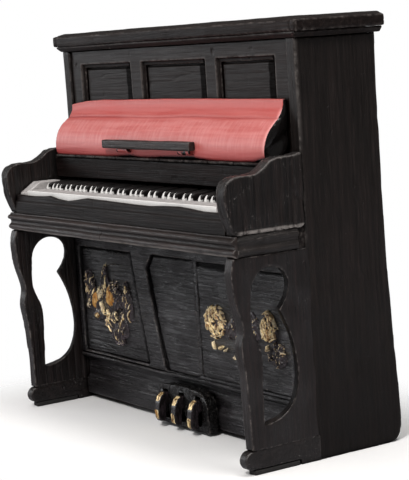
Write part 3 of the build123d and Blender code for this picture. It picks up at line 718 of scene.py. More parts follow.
for k, (side, sign) in enumerate((("left", -1), ("right", 1))):
    skin(side + "_side_panel", "side", "z", name=side + "_side", voxel=0.42, seed=11 + k,
         cut=0.13, lumps=0.12, warp=0.14, on_floor=True, shape=shape_side, sign=sign)
    skin(side + "_arm", "arm", "z", voxel=0.24, seed=21 + k, cut=0.40, lumps=0.14,
         shape=shape_arm, sign=sign)
    skin(side + "_truss", "leg", "z", voxel=0.27, seed=31 + k, cut=0.15, lumps=0.18,
         soften=4, warp=0.3, shape=shape_truss, sign=sign)
    skin(side + "_foot", "foot", "y", voxel=0.22, seed=41 + k, cut=0.08, lumps=0.20,
         soften=6, on_floor=True, shape=shape_foot)


# ------------------------------------------------------------------ case and upper panel
def shape_lid(rest, normal, moved, mesh):
    """Cuts a mitre line across each front corner."""
    x, y, _ = rest.T
    line = bell((np.abs(x) - 64.9) - (y - CASE_FRONT), 0.30) * (y < CASE_FRONT + 1.2)
    for _ in range(2):      # one pass for each corner; both corners are in the line
        moved -= normal * (line * 0.12)[:, None]


skin("foot_pads", "felt", None, voxel=0.22, seed=45, cut=0.0, lumps=0.08, chips=0, soften=3,
     warp=0.1, on_floor=True)
skin("back_panel", "side", "z", voxel=0.55, seed=50, cut=0.10, lumps=0.06, warp=0)
skin("cornice_frame", "lid", "x", name="cornice", voxel=0.24, seed=52, cut=0.05, lumps=0.05,
     warp=0.08)
skin("top_lid", "lid", "x", voxel=0.36, seed=54, cut=0.09, lumps=0.10, warp=0.12,
     shape=shape_lid)

PARTS = ("left", "centre", "right")
WINDOW_GAP = 0.65       # from an inset's edge to the edge of its window in the frame
INSET_BOXES = [mm_box("upper_inset_" + part) for part in PARTS]
WINDOWS = [(low[0] - WINDOW_GAP, high[0] + WINDOW_GAP) for low, high in INSET_BOXES]
WINDOW_LOW = INSET_BOXES[0][0][2] - WINDOW_GAP
WINDOW_HIGH = INSET_BOXES[0][1][2] + WINDOW_GAP


def shape_upper_frame(rest, normal, moved, mesh):
    """Paints a highlight on the frame's front around each window and paints shade inside the
    window, heaviest at its right.
    """
    x, y, z = rest.T
    trim = np.zeros(len(rest))
    wash = np.zeros(len(rest))
    proud = y < CASE_FRONT + 1.25
    for left, right in WINDOWS:
        away_x = np.maximum(np.maximum(left - x, x - right), 0)
        away_z = np.maximum(np.maximum(WINDOW_LOW - z, z - WINDOW_HIGH), 0)
        trim = np.maximum(trim, smooth(0.75, 0.15, np.hypot(away_x, away_z)) * proud)
        inside = (x > left - 0.1) & (x < right + 0.3) & (z > WINDOW_LOW) & (z < WINDOW_HIGH + 0.1)
        shade = 0.15 + 0.82 * (x > right - 2.2)
        wash = np.maximum(wash, inside * (y > CASE_FRONT + 1.0) * shade)
    # painted highlight round each window, painted shadow inside it
    mark(mesh, trim=trim * 0.26, wash=wash)


def shape_inset(rest, normal, moved, mesh):
    """Paints shadow over the right and top margins."""
    x, _, z = rest.T
    margin = 0.9
    ragged = 0.25 * noise(rest, 0.5, 67)
    right_edge, top_edge = x.max() - margin, z.max() - margin
    right = smooth(right_edge - 3.4, right_edge - 2.8, x + ragged)
    top = smooth(top_edge - 0.5, top_edge - 0.1, z + ragged)
    mark(mesh, wash=np.clip(np.maximum(right, 0.45 * top), 0, 1) * 0.94)


skin("upper_panel_frame", "frame", "x", name="upper_frame", voxel=0.27, seed=60, cut=0.04,
     lumps=0.08, chips=0.28, warp=0.12, shape=shape_upper_frame)
for k, part in enumerate(PARTS):
    skin("upper_inset_" + part, "inset", "x", voxel=0.25, seed=64 + k, cut=0.10, lumps=0.05,
         chips=0.12, warp=0.06, soften=1, shape=shape_inset)
skin("nameboard", "name", "x", voxel=0.27, seed=70, cut=0.06, lumps=0.05, warp=0.05)
skin("fallboard_shelf", "gloss", "x", name="shelf", voxel=0.40, seed=72, cut=0.05, lumps=0.03,
     warp=0)


# ------------------------------------------------------------------ moulding and key slip
SLIP_REST_TOP = 69.3
SLIP_TOP_DROP = 0.1
SLIP_LINE = np.array([  # x, z of the slip's wavy top edge, before the drop
    (-60, 69.6), (-47.8, 69.5), (-41.5, 69.7), (-37.4, 70.0), (-32.9, 69.3), (-26.9, 68.85),
    (-20.9, 69.5), (-14.4, 70.3), (-7, 70.1), (1.7, 69.95), (12.3, 69.7), (20.5, 69.65),
    (27.5, 70.05), (35.3, 70.2), (41.9, 69.9), (47.4, 69.5), (60, 69.5),
])


def shape_moulding(rest, normal, moved, mesh):
    """Cuts a seam left of the middle and paints a highlight along the lower front edge."""
    x, _, z = rest.T
    seam = bell(x + 5.0, 0.22) * (z < 62.6) * (normal[:, 1] < -0.2)
    mark(mesh, trim=0.6 * smooth(59.0, 58.5, z) * (normal[:, 1] < -0.3))
    moved -= normal * (seam * 0.22)[:, None]


def shape_slip(rest, normal, moved, mesh):
    x, _, z = rest.T
    top = np.interp(x, *SLIP_LINE.T) - SLIP_TOP_DROP
    moved[:, 2] += smooth(67.6, SLIP_REST_TOP, z) * (top - SLIP_REST_TOP)


skin("front_moulding", "front", "x", voxel=0.24, seed=74, cut=0.06, lumps=0.06, warp=0.12,
     shape=shape_moulding)
skin("moulding_returns", "depth", "y", voxel=0.20, seed=76, cut=0.16, lumps=0.30, chips=0.5,
     warp=0.3, soften=5)
skin("key_slip", "slip", "x", voxel=0.22, seed=78, cut=0.05, lumps=0.06, warp=0.08,
     shape=shape_slip)

# ------------------------------------------------------------------ lower panel
FIELD_LINES = {   # painted shade along edges of the three fields: from (x, z), to (x, z), width
    "left": [((-24.0, 50.8), (-16.6, 16.6), 2.5), ((-56.4, 50.8), (-24.0, 50.8), 0.8),
             ((-56.4, 50.8), (-56.4, 16.6), 0.6)],
    "centre": [((-7.6, 16.0), (-12.0, 31.0), 1.1), ((-12.0, 31.0), (-15.5, 46.6), 1.1),
               ((-15.5, 46.6), (-12.2, 51.0), 0.7), ((-12.2, 51.0), (8.0, 51.0), 0.3)],
    "right": [((13.0, 50.6), (28.5, 50.4), 1.9), ((28.5, 50.4), (56.4, 50.8), 0.7)],
}
FIELD_SHADE = {"left": 0.1, "centre": 0.42, "right": 0.22}      # painted shade towards the top


def segment_distance(points, start, end):
    """Distance in the XZ plane from each point to a segment."""
    start, end = np.array(start, float), np.array(end, float)
    along = end - start
    offset = points[:, [0, 2]] - start
    t = np.clip((offset @ along) / (along @ along), 0, 1)
    return np.linalg.norm(offset - t[:, None] * along, axis=1)


def shape_lower_panel(rest, normal, moved, mesh):
    """Sinks the strip between centre and right fields, and the foot of the right half."""
    x, y, z = rest.T
    front = y < PANEL_FRONT + 0.6
    strip = smooth(9.4, 9.9, x) * smooth(12.7, 12.2, x)
    strip = strip * smooth(15.8, 17.0, z) * smooth(51.6, 50.4, z) * front
    moved[:, 1] += 0.72 * strip
    moved[:, 1] += 0.70 * (smooth(-8, -2, x) * smooth(17.4, 16.4, z) * front)
    mark(mesh, calm=smooth(-10, -3, x) * smooth(20, 17, z))


def shape_field(rest, normal, moved, mesh, part):
    """Paints shade along the listed edges and sinks them, paints shade towards the top, and
    widens the centre and right fields.
    """
    x, _, z = rest.T
    front = normal[:, 1] < -0.3
    ragged = 0.3 * noise(rest, 0.4, 88)
    wash = 0
    for start, end, width in FIELD_LINES[part]:
        distance = segment_distance(rest, start, end) + ragged
        wash = np.maximum(wash, smooth(width + 0.45, width * 0.6, distance))
    shade = FIELD_SHADE[part] * smooth(30, 46, z + 3 * noise(rest, (0.08, 1, 0.1), 91))
    mark(mesh, wash=np.clip(np.maximum(wash * 0.95, shade), 0, 1))
    moved[:, 1] += 0.35 * wash * front
    if part == "centre":
        moved[:, 0] += 0.6 * (x > 9.6)
        # a gentle swell near the foot
        moved[:, 1] -= 0.35 * np.exp(-(((x - 1) / 9) ** 2 + ((z - 25) / 9) ** 2)) * front
    if part == "right":
        moved[:, 0] -= 0.6 * (x < 12.4)


def shape_rail(rest, normal, moved, mesh):
    """Leans the top of the rail's front back, from near the middle to the right end."""
    x, y, z = rest.T
    right = smooth(-10, -2, x)
    top = z.max()
    moved[:, 1] += 1.1 * right * smooth(top - 5.5, top, z) * (y < y.min() + 1.2)
    mark(mesh, calm=right * smooth(top - 7, top - 4, z))


def shape_housing(rest, normal, moved, mesh):
    cuts = grooves(rest, (0.55, 0.55, 0.28), 95, sharp=0.3, share=0.35)
    moved -= normal * (cuts * 0.30)[:, None]


skin("lower_panel", "lower", "x", voxel=0.33, seed=80, cut=0.14, lumps=0.16, warp=0.14,
     shape=shape_lower_panel)
for k, part in enumerate(PARTS):
    skin("lower_field_" + part, "lower", "x", voxel=0.28, seed=84 + k, cut=0.20, lumps=0.12,
         chips=0.16, warp=0.0, soften=1, shape=shape_field, part=part)
skin("bottom_rail", "lower", "x", voxel=0.33, seed=90, cut=0.10, lumps=0.12, warp=0.10,
     on_floor=True, shape=shape_rail)
skin("pedal_housing", "gloss", None, voxel=0.24, seed=94, cut=0.10, lumps=0.25, soften=4,
     warp=0.1, on_floor=True, shape=shape_housing)

# ------------------------------------------------------------------ key blocks and fallboard
BLOCK_PAINT_FRONT = CASE_FRONT - 9.2        # the blocks are off-white in front of this plane
RED_LINE = np.array([  # x, z of the lower edge of the red face
    (-58, 81.4), (-54, 80.7), (-49, 80.2), (-36.3, 80.5), (-26, 81.25), (-20.9, 81.6),
    (-12.2, 81.65), (-6.5, 81.05), (2.8, 81.35), (11.8, 81.7), (20.5, 81.95), (27.2, 81.35),
    (33.7, 80.75), (44.9, 80.8), (51.2, 81.3), (55.8, 82.2), (58.2, 82.5),
])
TOP_RISE = np.array([  # x, rise of the fallboard's top
    (-58, -0.7), (-54, -0.2), (-48, 0.35), (-38, 0.7), (10, 0.75), (30, 0.55), (58, 0.35),
])


def shape_blocks(rest, normal, moved, mesh):
    y = rest[:, 1]
    colour_side = np.where(y < BLOCK_PAINT_FRONT, 1.0, -1.0)
    mark(mesh, ink=colour_side * np.minimum(1, np.abs(y - BLOCK_PAINT_FRONT)))


def depth_behind_nose(y, z):
    """How far each point lies behind the foremost point at its height."""
    height_step = 0.5
    bins = np.arange(z.min() - height_step, z.max() + 1.0, height_step)
    which = np.clip(np.digitize(z, bins), 0, len(bins))
    nose = np.full(len(bins) + 1, 1e3)
    np.minimum.at(nose, which, y)
    return y - nose[which]


def shape_fallboard(rest, normal, moved, mesh):
    """Bends the top and lower edges, hollows the right end, cuts the crease, lays the red."""
    x, y, z = rest.T
    normal_x, normal_y, normal_z = normal.T
    crease = bell(z - 92.4 - 0.25 * noise(rest, (0.04, 0, 0), 5), 0.28) * (normal_y < -0.2)
    behind = depth_behind_nose(y, z)
    moved[:, 2] += np.interp(x, *TOP_RISE.T) * smooth(90, 96, z)
    right_end = smooth(56.6, 57.9, x)
    hollow = bell((z - 86.5) - 0.9 * (behind - 4.5), 2.2)
    moved[:, 0] -= np.sign(x) * right_end * (0.45 * smooth(2.4, 0.0, behind) ** 2
                                             + 0.5 * hollow)
    moved -= normal * (crease * 0.22)[:, None]
    # the lower edge swells and thins along the board
    low = np.interp(x, *RED_LINE.T) - 0.7 * smooth(-10, -25, x)
    swell = (81.4 - low) * bell(z - 82.2, 1.6) * (normal_y < 0)
    moved += normal * np.clip(swell * 0.18, -0.15, 0.2)[:, None]

    front = np.clip(-normal_y * 3 - 1.1, -1, 1)
    top = np.where(z > 95, np.clip(normal_z * 3 - 2.0, -1, 1), -1.0)
    face = np.maximum(front, top) - 1.4 * smooth(0.45, 0.75, np.abs(normal_x))
    ends = np.where(x > 0, 58.05 - x, 58.6 + x)
    red = np.minimum(np.minimum(face, ends), z - low)
    light = bell(58.0 - x - 0.9, 0.8) * smooth(95.2, 93.8, z) * smooth(82.5, 84.5, z)
    # the crease layer also paints shade along the crease
    mark(mesh, crease=crease, red=np.clip(red, -1, 1), edge_light=light)


skin("key_blocks", "key", "y", voxel=0.24, seed=96, cut=0.05, lumps=0.12, soften=6, warp=0.1,
     shape=shape_blocks)
skin("fallboard", "red", "x", voxel=0.30, seed=100, cut=0.06, lumps=0.07, chips=0.05,
     warp=0.06, soften=3, shape=shape_fallboard)
skin("music_ledge", "front", "x", voxel=0.20, seed=104, cut=0.07, lumps=0.10, soften=3,
     warp=0.12)
skin("ledge_brackets", "bracket", None, voxel=0.13, seed=106, cut=0.0, lumps=0.08, chips=0,
     warp=0.05)


# ------------------------------------------------------------------ keys, lofted one by one
def islands(node):
    """Vertices (mm) of each separate solid in a CAD node, from left to right."""
    bm = bmesh.new()
    bm.from_mesh(frame["nodes"][node].data)
    bmesh.ops.remove_doubles(bm, verts=bm.verts, dist=2e-6)
    seen, solids = set(), []
    for first in bm.verts:
        if first.index in seen:
            continue
        stack, group = [first], []
        seen.add(first.index)
        while stack:
            vert = stack.pop()
            group.append(tuple(c / MM for c in vert.co))
            for edge in vert.link_edges:
                other = edge.other_vert(vert)
                if other.index not in seen:
                    seen.add(other.index)
                    stack.append(other)
        solids.append(np.array(group))
    bm.free()
    return sorted(solids, key=lambda solid: solid[:, 0].min())


def loft(rings):
    """Closed skin through equal-length rings, capped at both ends."""
    count = len(rings[0])
    faces = []
    for a in range(len(rings) - 1):
        for b in range(count):
            c = (b + 1) % count
            faces.append([a * count + b, a * count + c,
                          (a + 1) * count + c, (a + 1) * count + b])
    faces.append(list(range(count - 1, -1, -1)))
    faces.append([(len(rings) - 1) * count + b for b in range(count)])
    return [point for ring in rings for point in ring], faces


def key_ring(x0, x1, z0, z1, y, radius, columns=7, crown=0.0):
    """Section of a bar with softened top edges, anticlockwise seen from the front."""
    bottom = [(x0 + (x1 - x0) * (i / (columns - 1)), y, z0) for i in range(columns)]
    side = [z0 + (z1 - z0) * part for part in (0.35, 0.7)] + [z1 - radius]
    top = []
    for i in range(columns):
        t = 1 - i / (columns - 1)
        inward = radius * 0.35 if t == 0 else -radius * 0.35 if t == 1 else 0
        off_centre = abs(2 * t - 1)
        height = z1 - radius * 0.75 * off_centre ** 6 + crown * (1 - off_centre * off_centre)
        top.append((x0 + (x1 - x0) * t + inward, y, height))
    return (bottom + [(x1, y, z) for z in side] + top
            + [(x0, y, z) for z in reversed(side)])


def white_key(solid):
    """Rings, ink and painted highlight: a wide head, then a tail between the sharps."""
    y0, y1 = solid[:, 1].min(), solid[:, 1].max()
    z0, z_max = solid[:, 2].min(), solid[:, 2].max()
    head = solid[solid[:, 1] < y0 + 0.01]
    tail = solid[solid[:, 1] > y1 - 0.01]
    x0, x1 = head[:, 0].min(), head[:, 0].max()
    tail_x0, tail_x1 = tail[:, 0].min(), tail[:, 0].max()
    z1 = head[:, 2].max()
    # where the head ends, and where the raised block at the rear begins
    step = next((y for y in sorted(set(np.round(solid[:, 1], 3))) if y0 + 0.5 < y < y0 + 10),
                y0 + 5.7)
    block = y1 - 8.0
    vary = [math.sin(12.9898 * (x0 + q)) * 0.5 for q in (1, 2, 3)]
    lift = 0.02 * vary[0]
    reach = 0.45 + 0.25 * vary[2]
    stations = (
        [y0 + d for d in (0, 0.06, 0.2, 0.6, 1.6, 3.0, 4.4)]
        + [step - 0.3, step - 0.02]
        + [step + d for d in (0.02, 0.3, 0.6, 0.9, 1.2, 1.5, 1.8, 2.2, 2.8, 4.0, 6.0, 7.6)]
        + [0.0, block - 0.02, block + 0.02, block + 0.3, y1 - 0.3, y1]
    )
    rings, ink, bright = [], [], []
    for y in stations:
        left, right = (x0 - 0.055, x1 + 0.055) if y < step else (tail_x0, tail_x1)
        top = z1 + lift
        if y < y0 + 0.03:
            top = z1 - 0.14
        elif y < y0 + 0.1:
            top = z1 - 0.05
        if y > block:
            top = z_max
        bow = 0.06 * vary[1] * math.sin((y - y0) * 0.5) if y < step + 8 else 0
        ring = key_ring(left, right, z0, top, y, radius=0.16 if y > step else 0.05)
        rings.append([(px, py, pz + bow * (1 if pz > z1 - 0.5 else 0)) for px, py, pz in ring])
        centre, half = (left + right) / 2, (right - left) / 2
        for px, py, _ in ring:
            # white up to the sharps' fronts, then a tongue that narrows between them
            unnotched = ((tail_x0 - x0) < 0.05 and px < centre
                         or (x1 - tail_x1) < 0.05 and px > centre)
            taper = 0.5 if py > step - 0.01 and unnotched else 1.1
            edge = step + reach * (1 - taper * (abs(px - centre) / half)) - py
            ink.append(max(-1.5, min(1.5, edge)))
            # a painted highlight on the key's front face
            bright.append(1.0 if py < y0 + 0.12 else 0.0)
    return rings, ink, bright


def sharp_key(solid):
    """Rings, ink and painted highlight: a sloped front, a raised bar, a low neck and a heel."""
    x0, x1 = solid[:, 0].min(), solid[:, 0].max()
    y0, y1 = solid[:, 1].min(), solid[:, 1].max()
    z0, z1 = solid[:, 2].min(), solid[:, 2].max()
    steps = sorted(set(np.round(solid[:, 1], 3)))
    drop = [y for y in steps if y0 + 4 < y < y0 + 12][-1]     # where the raised bar ends
    heel = [y for y in steps if y > drop + 4][0]
    near = solid[np.abs(solid[:, 1] - drop) < 0.02][:, 2]
    levels = sorted(set(np.round(near, 2)))
    high, low = near.max(), levels[1] if len(levels) > 2 else near.max() - 2.2
    vary = math.sin(78.233 * x0)
    front = solid[solid[:, 1] < y0 + 0.01][:, 2].max()
    sections = [  # y, top z, inset of both flanks
        (y0, front - 0.35, 0.10), (y0 + 0.05, front - 0.12, 0.05),
        (y0 + 0.25, front + 0.35, 0.02), (y0 + 0.55, front + 0.85, 0.0),
        (y0 + 0.95, front + 1.18 + 0.05 * vary, 0.0),
        (y0 + 2.0, front + 1.32 + 0.08 * vary, 0.0),
        (y0 + 4.0, front + 1.45, 0.0), (y0 + 6.5, high - 0.08, 0.0),
        (drop - 0.2, high - 0.04, 0.0), (drop - 0.02, high - 0.25, 0.0),
        (drop + 0.02, low, 0.0), (drop + 4, low, 0.0), (heel - 0.02, low, 0.0),
        (heel + 0.02, z1 - 0.1, 0.0), (heel + 0.3, z1, 0.0), (y1 - 0.2, z1, 0.0),
        (y1, z1 - 0.1, 0.0),
    ]
    rings, ink = [], []
    for y, top, inset in sections:
        ring = key_ring(x0 + inset, x1 - inset, z0, top, y, radius=0.22, columns=5, crown=0.05)
        rings.append(ring)
        for px, py, pz in ring:
            # a pale patch on the sloped front that narrows upwards
            across = abs(2 * px - x0 - x1) / (x1 - x0)
            up = (pz - front + 0.7) / (2.0 + 0.35 * vary)
            ink.append(max(-1.0, min(1.0, min(1.15 - up - 0.84 * across,
                                              (y0 + 1.15 - py) * 1.4))))
    # the painted highlight covers the whole sharp
    return rings, ink, [1.0] * len(ink)


def build_keys(node, key, flat):
    verts, faces, ink, bright = [], [], [], []
    for solid in islands(node):
        rings, key_ink, key_bright = key(solid)
        key_verts, key_faces = loft(rings)
        base = len(verts)
        verts += key_verts
        faces += [[i + base for i in face] for face in key_faces]
        ink += key_ink
        bright += key_bright
    mesh = mesh_from(node + "_visual", verts, faces)
    edit(mesh, bmesh.ops.recalc_face_normals, faces=None)
    mark(mesh, ink=ink, bright=bright)
    finish_piece(mesh, node + "_visual", node, "key", flat=flat)


for node in sorted(frame["nodes"]):
    if node.startswith("white_keys_"):
        build_keys(node, white_key, flat=True)
    elif node.startswith("sharp_keys_"):
        build_keys(node, sharp_key, flat=False)


# ------------------------------------------------------------------ gilded ornaments
# A leaf is (x, z, half length, half width, angle in degrees, height, gold). Gold runs from
# about -1 for black to 1.3; above 1.9 it makes the leaf ochre.
def leaf_fields(X, Z, leaves, seed):
    """Height, gold and ochre over a grid, the highest leaf winning at each point."""
    points = np.stack([X.ravel(), np.zeros(X.size), Z.ravel()], 1)
    warp_x = fbm(points, 0.35, seed, octaves=2).reshape(X.shape) * 0.45
    warp_z = fbm(points, 0.35, seed + 50, octaves=2).reshape(X.shape) * 0.45
    height = np.zeros(X.shape) - 0.2
    gold = np.zeros(X.shape)
    ochre = np.zeros(X.shape)
    for leaf_x, leaf_z, length, width, angle, rise, gilding in leaves:
        turn = math.radians(angle)
        dx, dz = X + warp_x - leaf_x, Z + warp_z - leaf_z
        along = (dx * math.sin(turn) + dz * math.cos(turn)) / length
        across = (dx * math.cos(turn) - dz * math.sin(turn)) / width
        taper = 1 - 0.45 * along
        inside = 1 - along * along - (across / np.maximum(taper, 0.25)) ** 2
        dome = np.sqrt(np.clip(inside, 0, 1)) * rise
        vein = np.exp(-(across / 0.13) ** 2) * 0.22 * rise
        ribs = 0.10 * rise * np.cos(across * 9 + along * 5) * (inside > 0)
        broad = width > 1.0
        leaf = np.where(inside > 0, dome - vein * broad + ribs * broad, -0.2)
        top = leaf > height
        gold = np.where(top, min(gilding, 1.3), gold)
        ochre = np.where(top, float(gilding > 1.9), ochre)
        height = np.where(top, leaf, height)
    lump = fbm(points, 0.9, seed + 90, octaves=3).reshape(X.shape)
    height = np.where(height > -0.1, height * (1 + 0.16 * lump) + 0.07 * lump, height)
    return height, gold, ochre


def relief(node, leaves, seed, step, base_gold):
    """A foliate relief as a height field on the panel's field, closed at the back."""
    margin = 1.2
    low, high = mm_box(node)
    x0, x1, z0, z1 = low[0] - margin, high[0] + margin, low[2] - margin, high[2] + margin
    columns, rows = int((x1 - x0) / step) + 1, int((z1 - z0) / step) + 1
    X, Z = np.meshgrid(np.linspace(x0, x1, columns), np.linspace(z0, z1, rows))
    height, gold, ochre = leaf_fields(X, Z, leaves, seed)

    # gold catches on what stands above its surroundings
    blur = height.copy()
    for _ in range(10):
        blur = (blur + np.roll(blur, 1, 0) + np.roll(blur, -1, 0)
                + np.roll(blur, 1, 1) + np.roll(blur, -1, 1)) / 5
    proud = np.clip((height - blur) * 2.2, -0.5, 0.7)
    gold = np.clip(gold * 0.62 + proud + base_gold + 0.12 * np.clip(height, 0, 1.5), 0, 1.4)

    # keep the cells whose four corners stand proud
    on = height > 0.03
    cell = on[:-1, :-1] & on[1:, :-1] & on[:-1, 1:] & on[1:, 1:]
    cells_around = np.zeros(on.shape, int)
    halves = (slice(None, -1), slice(1, None))
    for row_half, column_half in product(halves, halves):
        cells_around[row_half, column_half] += cell
    used = cells_around > 0
    height = np.where(used & (cells_around < 4), 0.03, height)
    count = used.sum()
    index = -np.ones(on.shape, int)
    index[used] = np.arange(count)
    front_y = FIELD_FRONT - 0.05 - np.clip(height[used], 0, 1.9)
    front = np.stack([X[used], front_y, Z[used]], 1)
    back = np.stack([X[used], np.full(count, FIELD_FRONT + 0.30), Z[used]], 1)
    quads = np.stack([index[:-1, :-1][cell], index[:-1, 1:][cell],
                      index[1:, 1:][cell], index[1:, :-1][cell]], 1)
    faces = quads.tolist() + (quads[:, ::-1] + count).tolist()
    edges = dict.fromkeys(pair for quad in quads.tolist()
                          for pair in zip(quad, quad[1:] + quad[:1]))
    for a, b in edges:
        if (b, a) not in edges:
            faces.append([b, a, int(a + count), int(b + count)])
    mesh = mesh_from(node + "_visual", np.concatenate([front, back]), faces)
    mark(mesh, gold=np.concatenate([gold[used], np.zeros(count)]),
         ochre=np.concatenate([ochre[used], np.zeros(count)]))
    finish_piece(mesh, node + "_visual", node, "gilt")


LEFT_MOUNDS = [  # low dark mounds that join each spray: x, z, half width, half height
    (-51.4, 38.6, 2.6, 5.4), (-48.2, 33.6, 3.2, 4.6), (-41.0, 40.9, 1.5, 4.0),
    (-38.4, 35.6, 4.6, 5.2), (-28.4, 34.6, 2.7, 6.4), (-39.4, 27.2, 2.6, 4.0),
    (-32.0, 26.6, 2.6, 4.2), (-35.6, 24.6, 4.4, 3.0), (-47.0, 29.0, 3.0, 2.0),
    (-33.6, 35.0, 2.6, 3.4),
]
LEFT_SPRAYS = [  # x, z, half width, half height, count, choices of gold, lean in degrees
    (-52.6, 39.2, 1.6, 4.6, 14, [1.2, 1.0, -0.4, -0.5], -6),
    (-49.8, 38.2, 1.8, 3.6, 12, [-0.5, -0.5, -0.3, 0.5], 16),
    (-51.0, 33.6, 1.8, 3.0, 9, [-0.5, -0.3, 0.8], 30),
    (-41.2, 41.4, 1.0, 3.6, 18, [1.2, 0.9, 0.6, -0.4], 4),
    (-41.4, 38.2, 2.2, 3.2, 12, [0.9, -0.4, -0.5], -14),
    (-36.4, 38.6, 2.2, 3.2, 12, [1.1, -0.4, -0.4], 24),
    (-28.4, 34.6, 2.0, 5.6, 26, [0.8, 0.5, -0.4, -0.4, -0.5], 6),
    (-40.0, 27.4, 1.8, 3.4, 14, [1.2, 0.9, -0.4], -26),
    (-31.6, 27.2, 2.0, 3.2, 14, [1.2, 0.8, -0.4, -0.4], 14),
    (-34.6, 23.2, 3.2, 2.0, 12, [-0.6, -0.6, -0.4, 0.4], 0),
    (-33.8, 33.6, 1.8, 3.0, 8, [-0.6, -0.5], 30),
    (-45.6, 34.0, 1.4, 4.0, 8, [-0.5, 0.4], -10),
]
LEFT_LEAVES = [  # two broad ochre petals first, then single leaves
    (-38.2, 36.0, 3.6, 1.9, -4, 1.75, 2.0), (-47.6, 33.8, 2.9, 1.6, 8, 1.6, 2.0),
    (-36.4, 29.6, 2.2, 1.5, 14, 1.35, 0.30), (-35.2, 33.2, 2.6, 1.3, 26, 1.2, -0.6),
    (-46.9, 28.9, 2.0, 1.0, 76, 1.4, 1.25), (-43.9, 31.6, 2.9, 0.40, -22, 1.3, 0.25),
    (-43.0, 36.8, 2.6, 0.34, 12, 1.2, 0.4),
]
RIGHT_SPRAYS = [  # x, z, half width, half height, count, gold
    (21.0, 34.0, 5.0, 5.2, 80, 1.0), (30.4, 33.0, 4.6, 3.4, 14, -0.6),
    (38.4, 34.6, 4.6, 4.2, 14, -0.3), (47.0, 35.0, 3.3, 4.5, 60, 1.0),
    (50.0, 27.8, 3.8, 3.6, 34, -0.35),
]
RIGHT_LEAVES = [
    (22.9, 26.6, 1.5, 0.62, 66, 1.2, 1.1), (19.2, 27.2, 1.7, 0.36, -15, 1.1, 0.45),
    (25.2, 26.2, 1.1, 0.4, 40, 1.0, 0.3), (29.0, 24.4, 1.0, 0.3, -40, 0.8, 0.2),
    (27.6, 30.2, 1.1, 0.5, 20, 0.9, -0.2), (45.6, 29.2, 1.2, 0.5, 15, 0.9, 0.6),
    (52.2, 30.2, 1.4, 0.6, -50, 0.8, 0.1), (40.0, 29.4, 1.6, 0.7, 0, 0.8, -0.3),
]
RIM_SHARE = 0.55        # share of a gilded spray's leaves that follow its rim


def left_spray(x, z, half_width, half_height, count, golds, lean, seed):
    """Near-upright slivers scattered over an oval."""
    rng = np.random.default_rng(seed)
    leaves = []
    for _ in range(count):
        t, r = rng.uniform(0, 2 * math.pi), math.sqrt(rng.uniform(0, 1))
        leaves.append((x + half_width * r * math.cos(t), z + half_height * r * math.sin(t),
                       rng.uniform(1.1, 2.5), rng.uniform(0.18, 0.36),
                       lean + rng.uniform(-26, 26), rng.uniform(0.9, 1.5), rng.choice(golds)))
    return leaves


def right_spray(rng, x, z, half_width, half_height, count, gold):
    """A low mound under slivers, of which a gilded spray lays some along its rim."""
    leaves = [(x, z, half_height, half_width, 0, 0.55, 0.02)]
    for i in range(count):
        if gold > 0.5 and i < count * RIM_SHARE:
            t = 2 * math.pi * i / (count * RIM_SHARE) + rng.uniform(-0.12, 0.12)
            r = rng.uniform(0.30, 0.98)
            tangent = math.degrees(math.atan2(-half_width * math.sin(t),
                                              half_height * math.cos(t)))
            sizes = rng.uniform(0.9, 1.8), rng.uniform(0.17, 0.30)
            angle = (tangent if r > 0.72 else -18.0) + rng.uniform(-26, 26)
            finish = rng.uniform(1.0, 1.6), gold * rng.uniform(0.75, 1.3)
        else:
            t = rng.uniform(0, 2 * math.pi)
            r = math.sqrt(rng.uniform(0, 1)) * 0.9
            sizes = rng.uniform(0.7, 1.6), rng.uniform(0.17, 0.32)
            angle = rng.uniform(-60, 40)
            finish = rng.uniform(0.9, 1.5), gold * rng.uniform(0.6, 1.3)
        leaves.append((x + half_width * r * math.cos(t), z + half_height * r * math.sin(t),
                       *sizes, angle, *finish))
    return leaves


leaves = [(x, z, half_height, half_width, 0, 0.62, -1.0)
          for x, z, half_width, half_height in LEFT_MOUNDS]
for seed, spray in enumerate(LEFT_SPRAYS, start=1):
    leaves += left_spray(*spray, seed)
relief("ornament_left", leaves + LEFT_LEAVES, seed=200, step=0.14, base_gold=-0.14)

rng = np.random.default_rng(20)
leaves = []
for spray in RIGHT_SPRAYS:
    leaves += right_spray(rng, *spray)
relief("ornament_right", leaves + RIGHT_LEAVES, seed=300, step=0.15, base_gold=-0.05)


# ------------------------------------------------------------------ pedals
def shape_pedal(rest, normal, moved, mesh):
    """Gilds the front of the pedal's top and tip, mostly left of its middle."""
    x, y, z = rest.T
    depth = y - CASE_FRONT
    middle = (x.min() + x.max()) / 2
    top = smooth(7.6, 8.4, z) * smooth(-6.2, -7.2, depth)
    tip = smooth(6.0, 5.2, z) * smooth(2.2, 2.9, z) * smooth(-7.6, -8.4, depth)
    front = np.clip((0.45 - normal[:, 0]) * 4, 0, 1) * np.clip(-normal[:, 1] * 3 - 0.3, 0, 1)
    left = smooth(1.3, 0.5, x - middle)
    gold = np.maximum(top, tip * 0.9) * front * left * 1.05 - 0.16
    mark(mesh, gold=np.clip(gold + 0.22 * noise(rest, 0.9, 7), 0, 1))
    moved[:, 2] = np.maximum(moved[:, 2], 0.2)


for k, part in enumerate(("left", "middle", "right")):
    skin(part + "_pedal", "gilt_pedal", None, voxel=0.17, seed=120 + k, cut=0.0, lumps=0.14,
         chips=0.08, soften=4, warp=0.0, shape=shape_pedal)

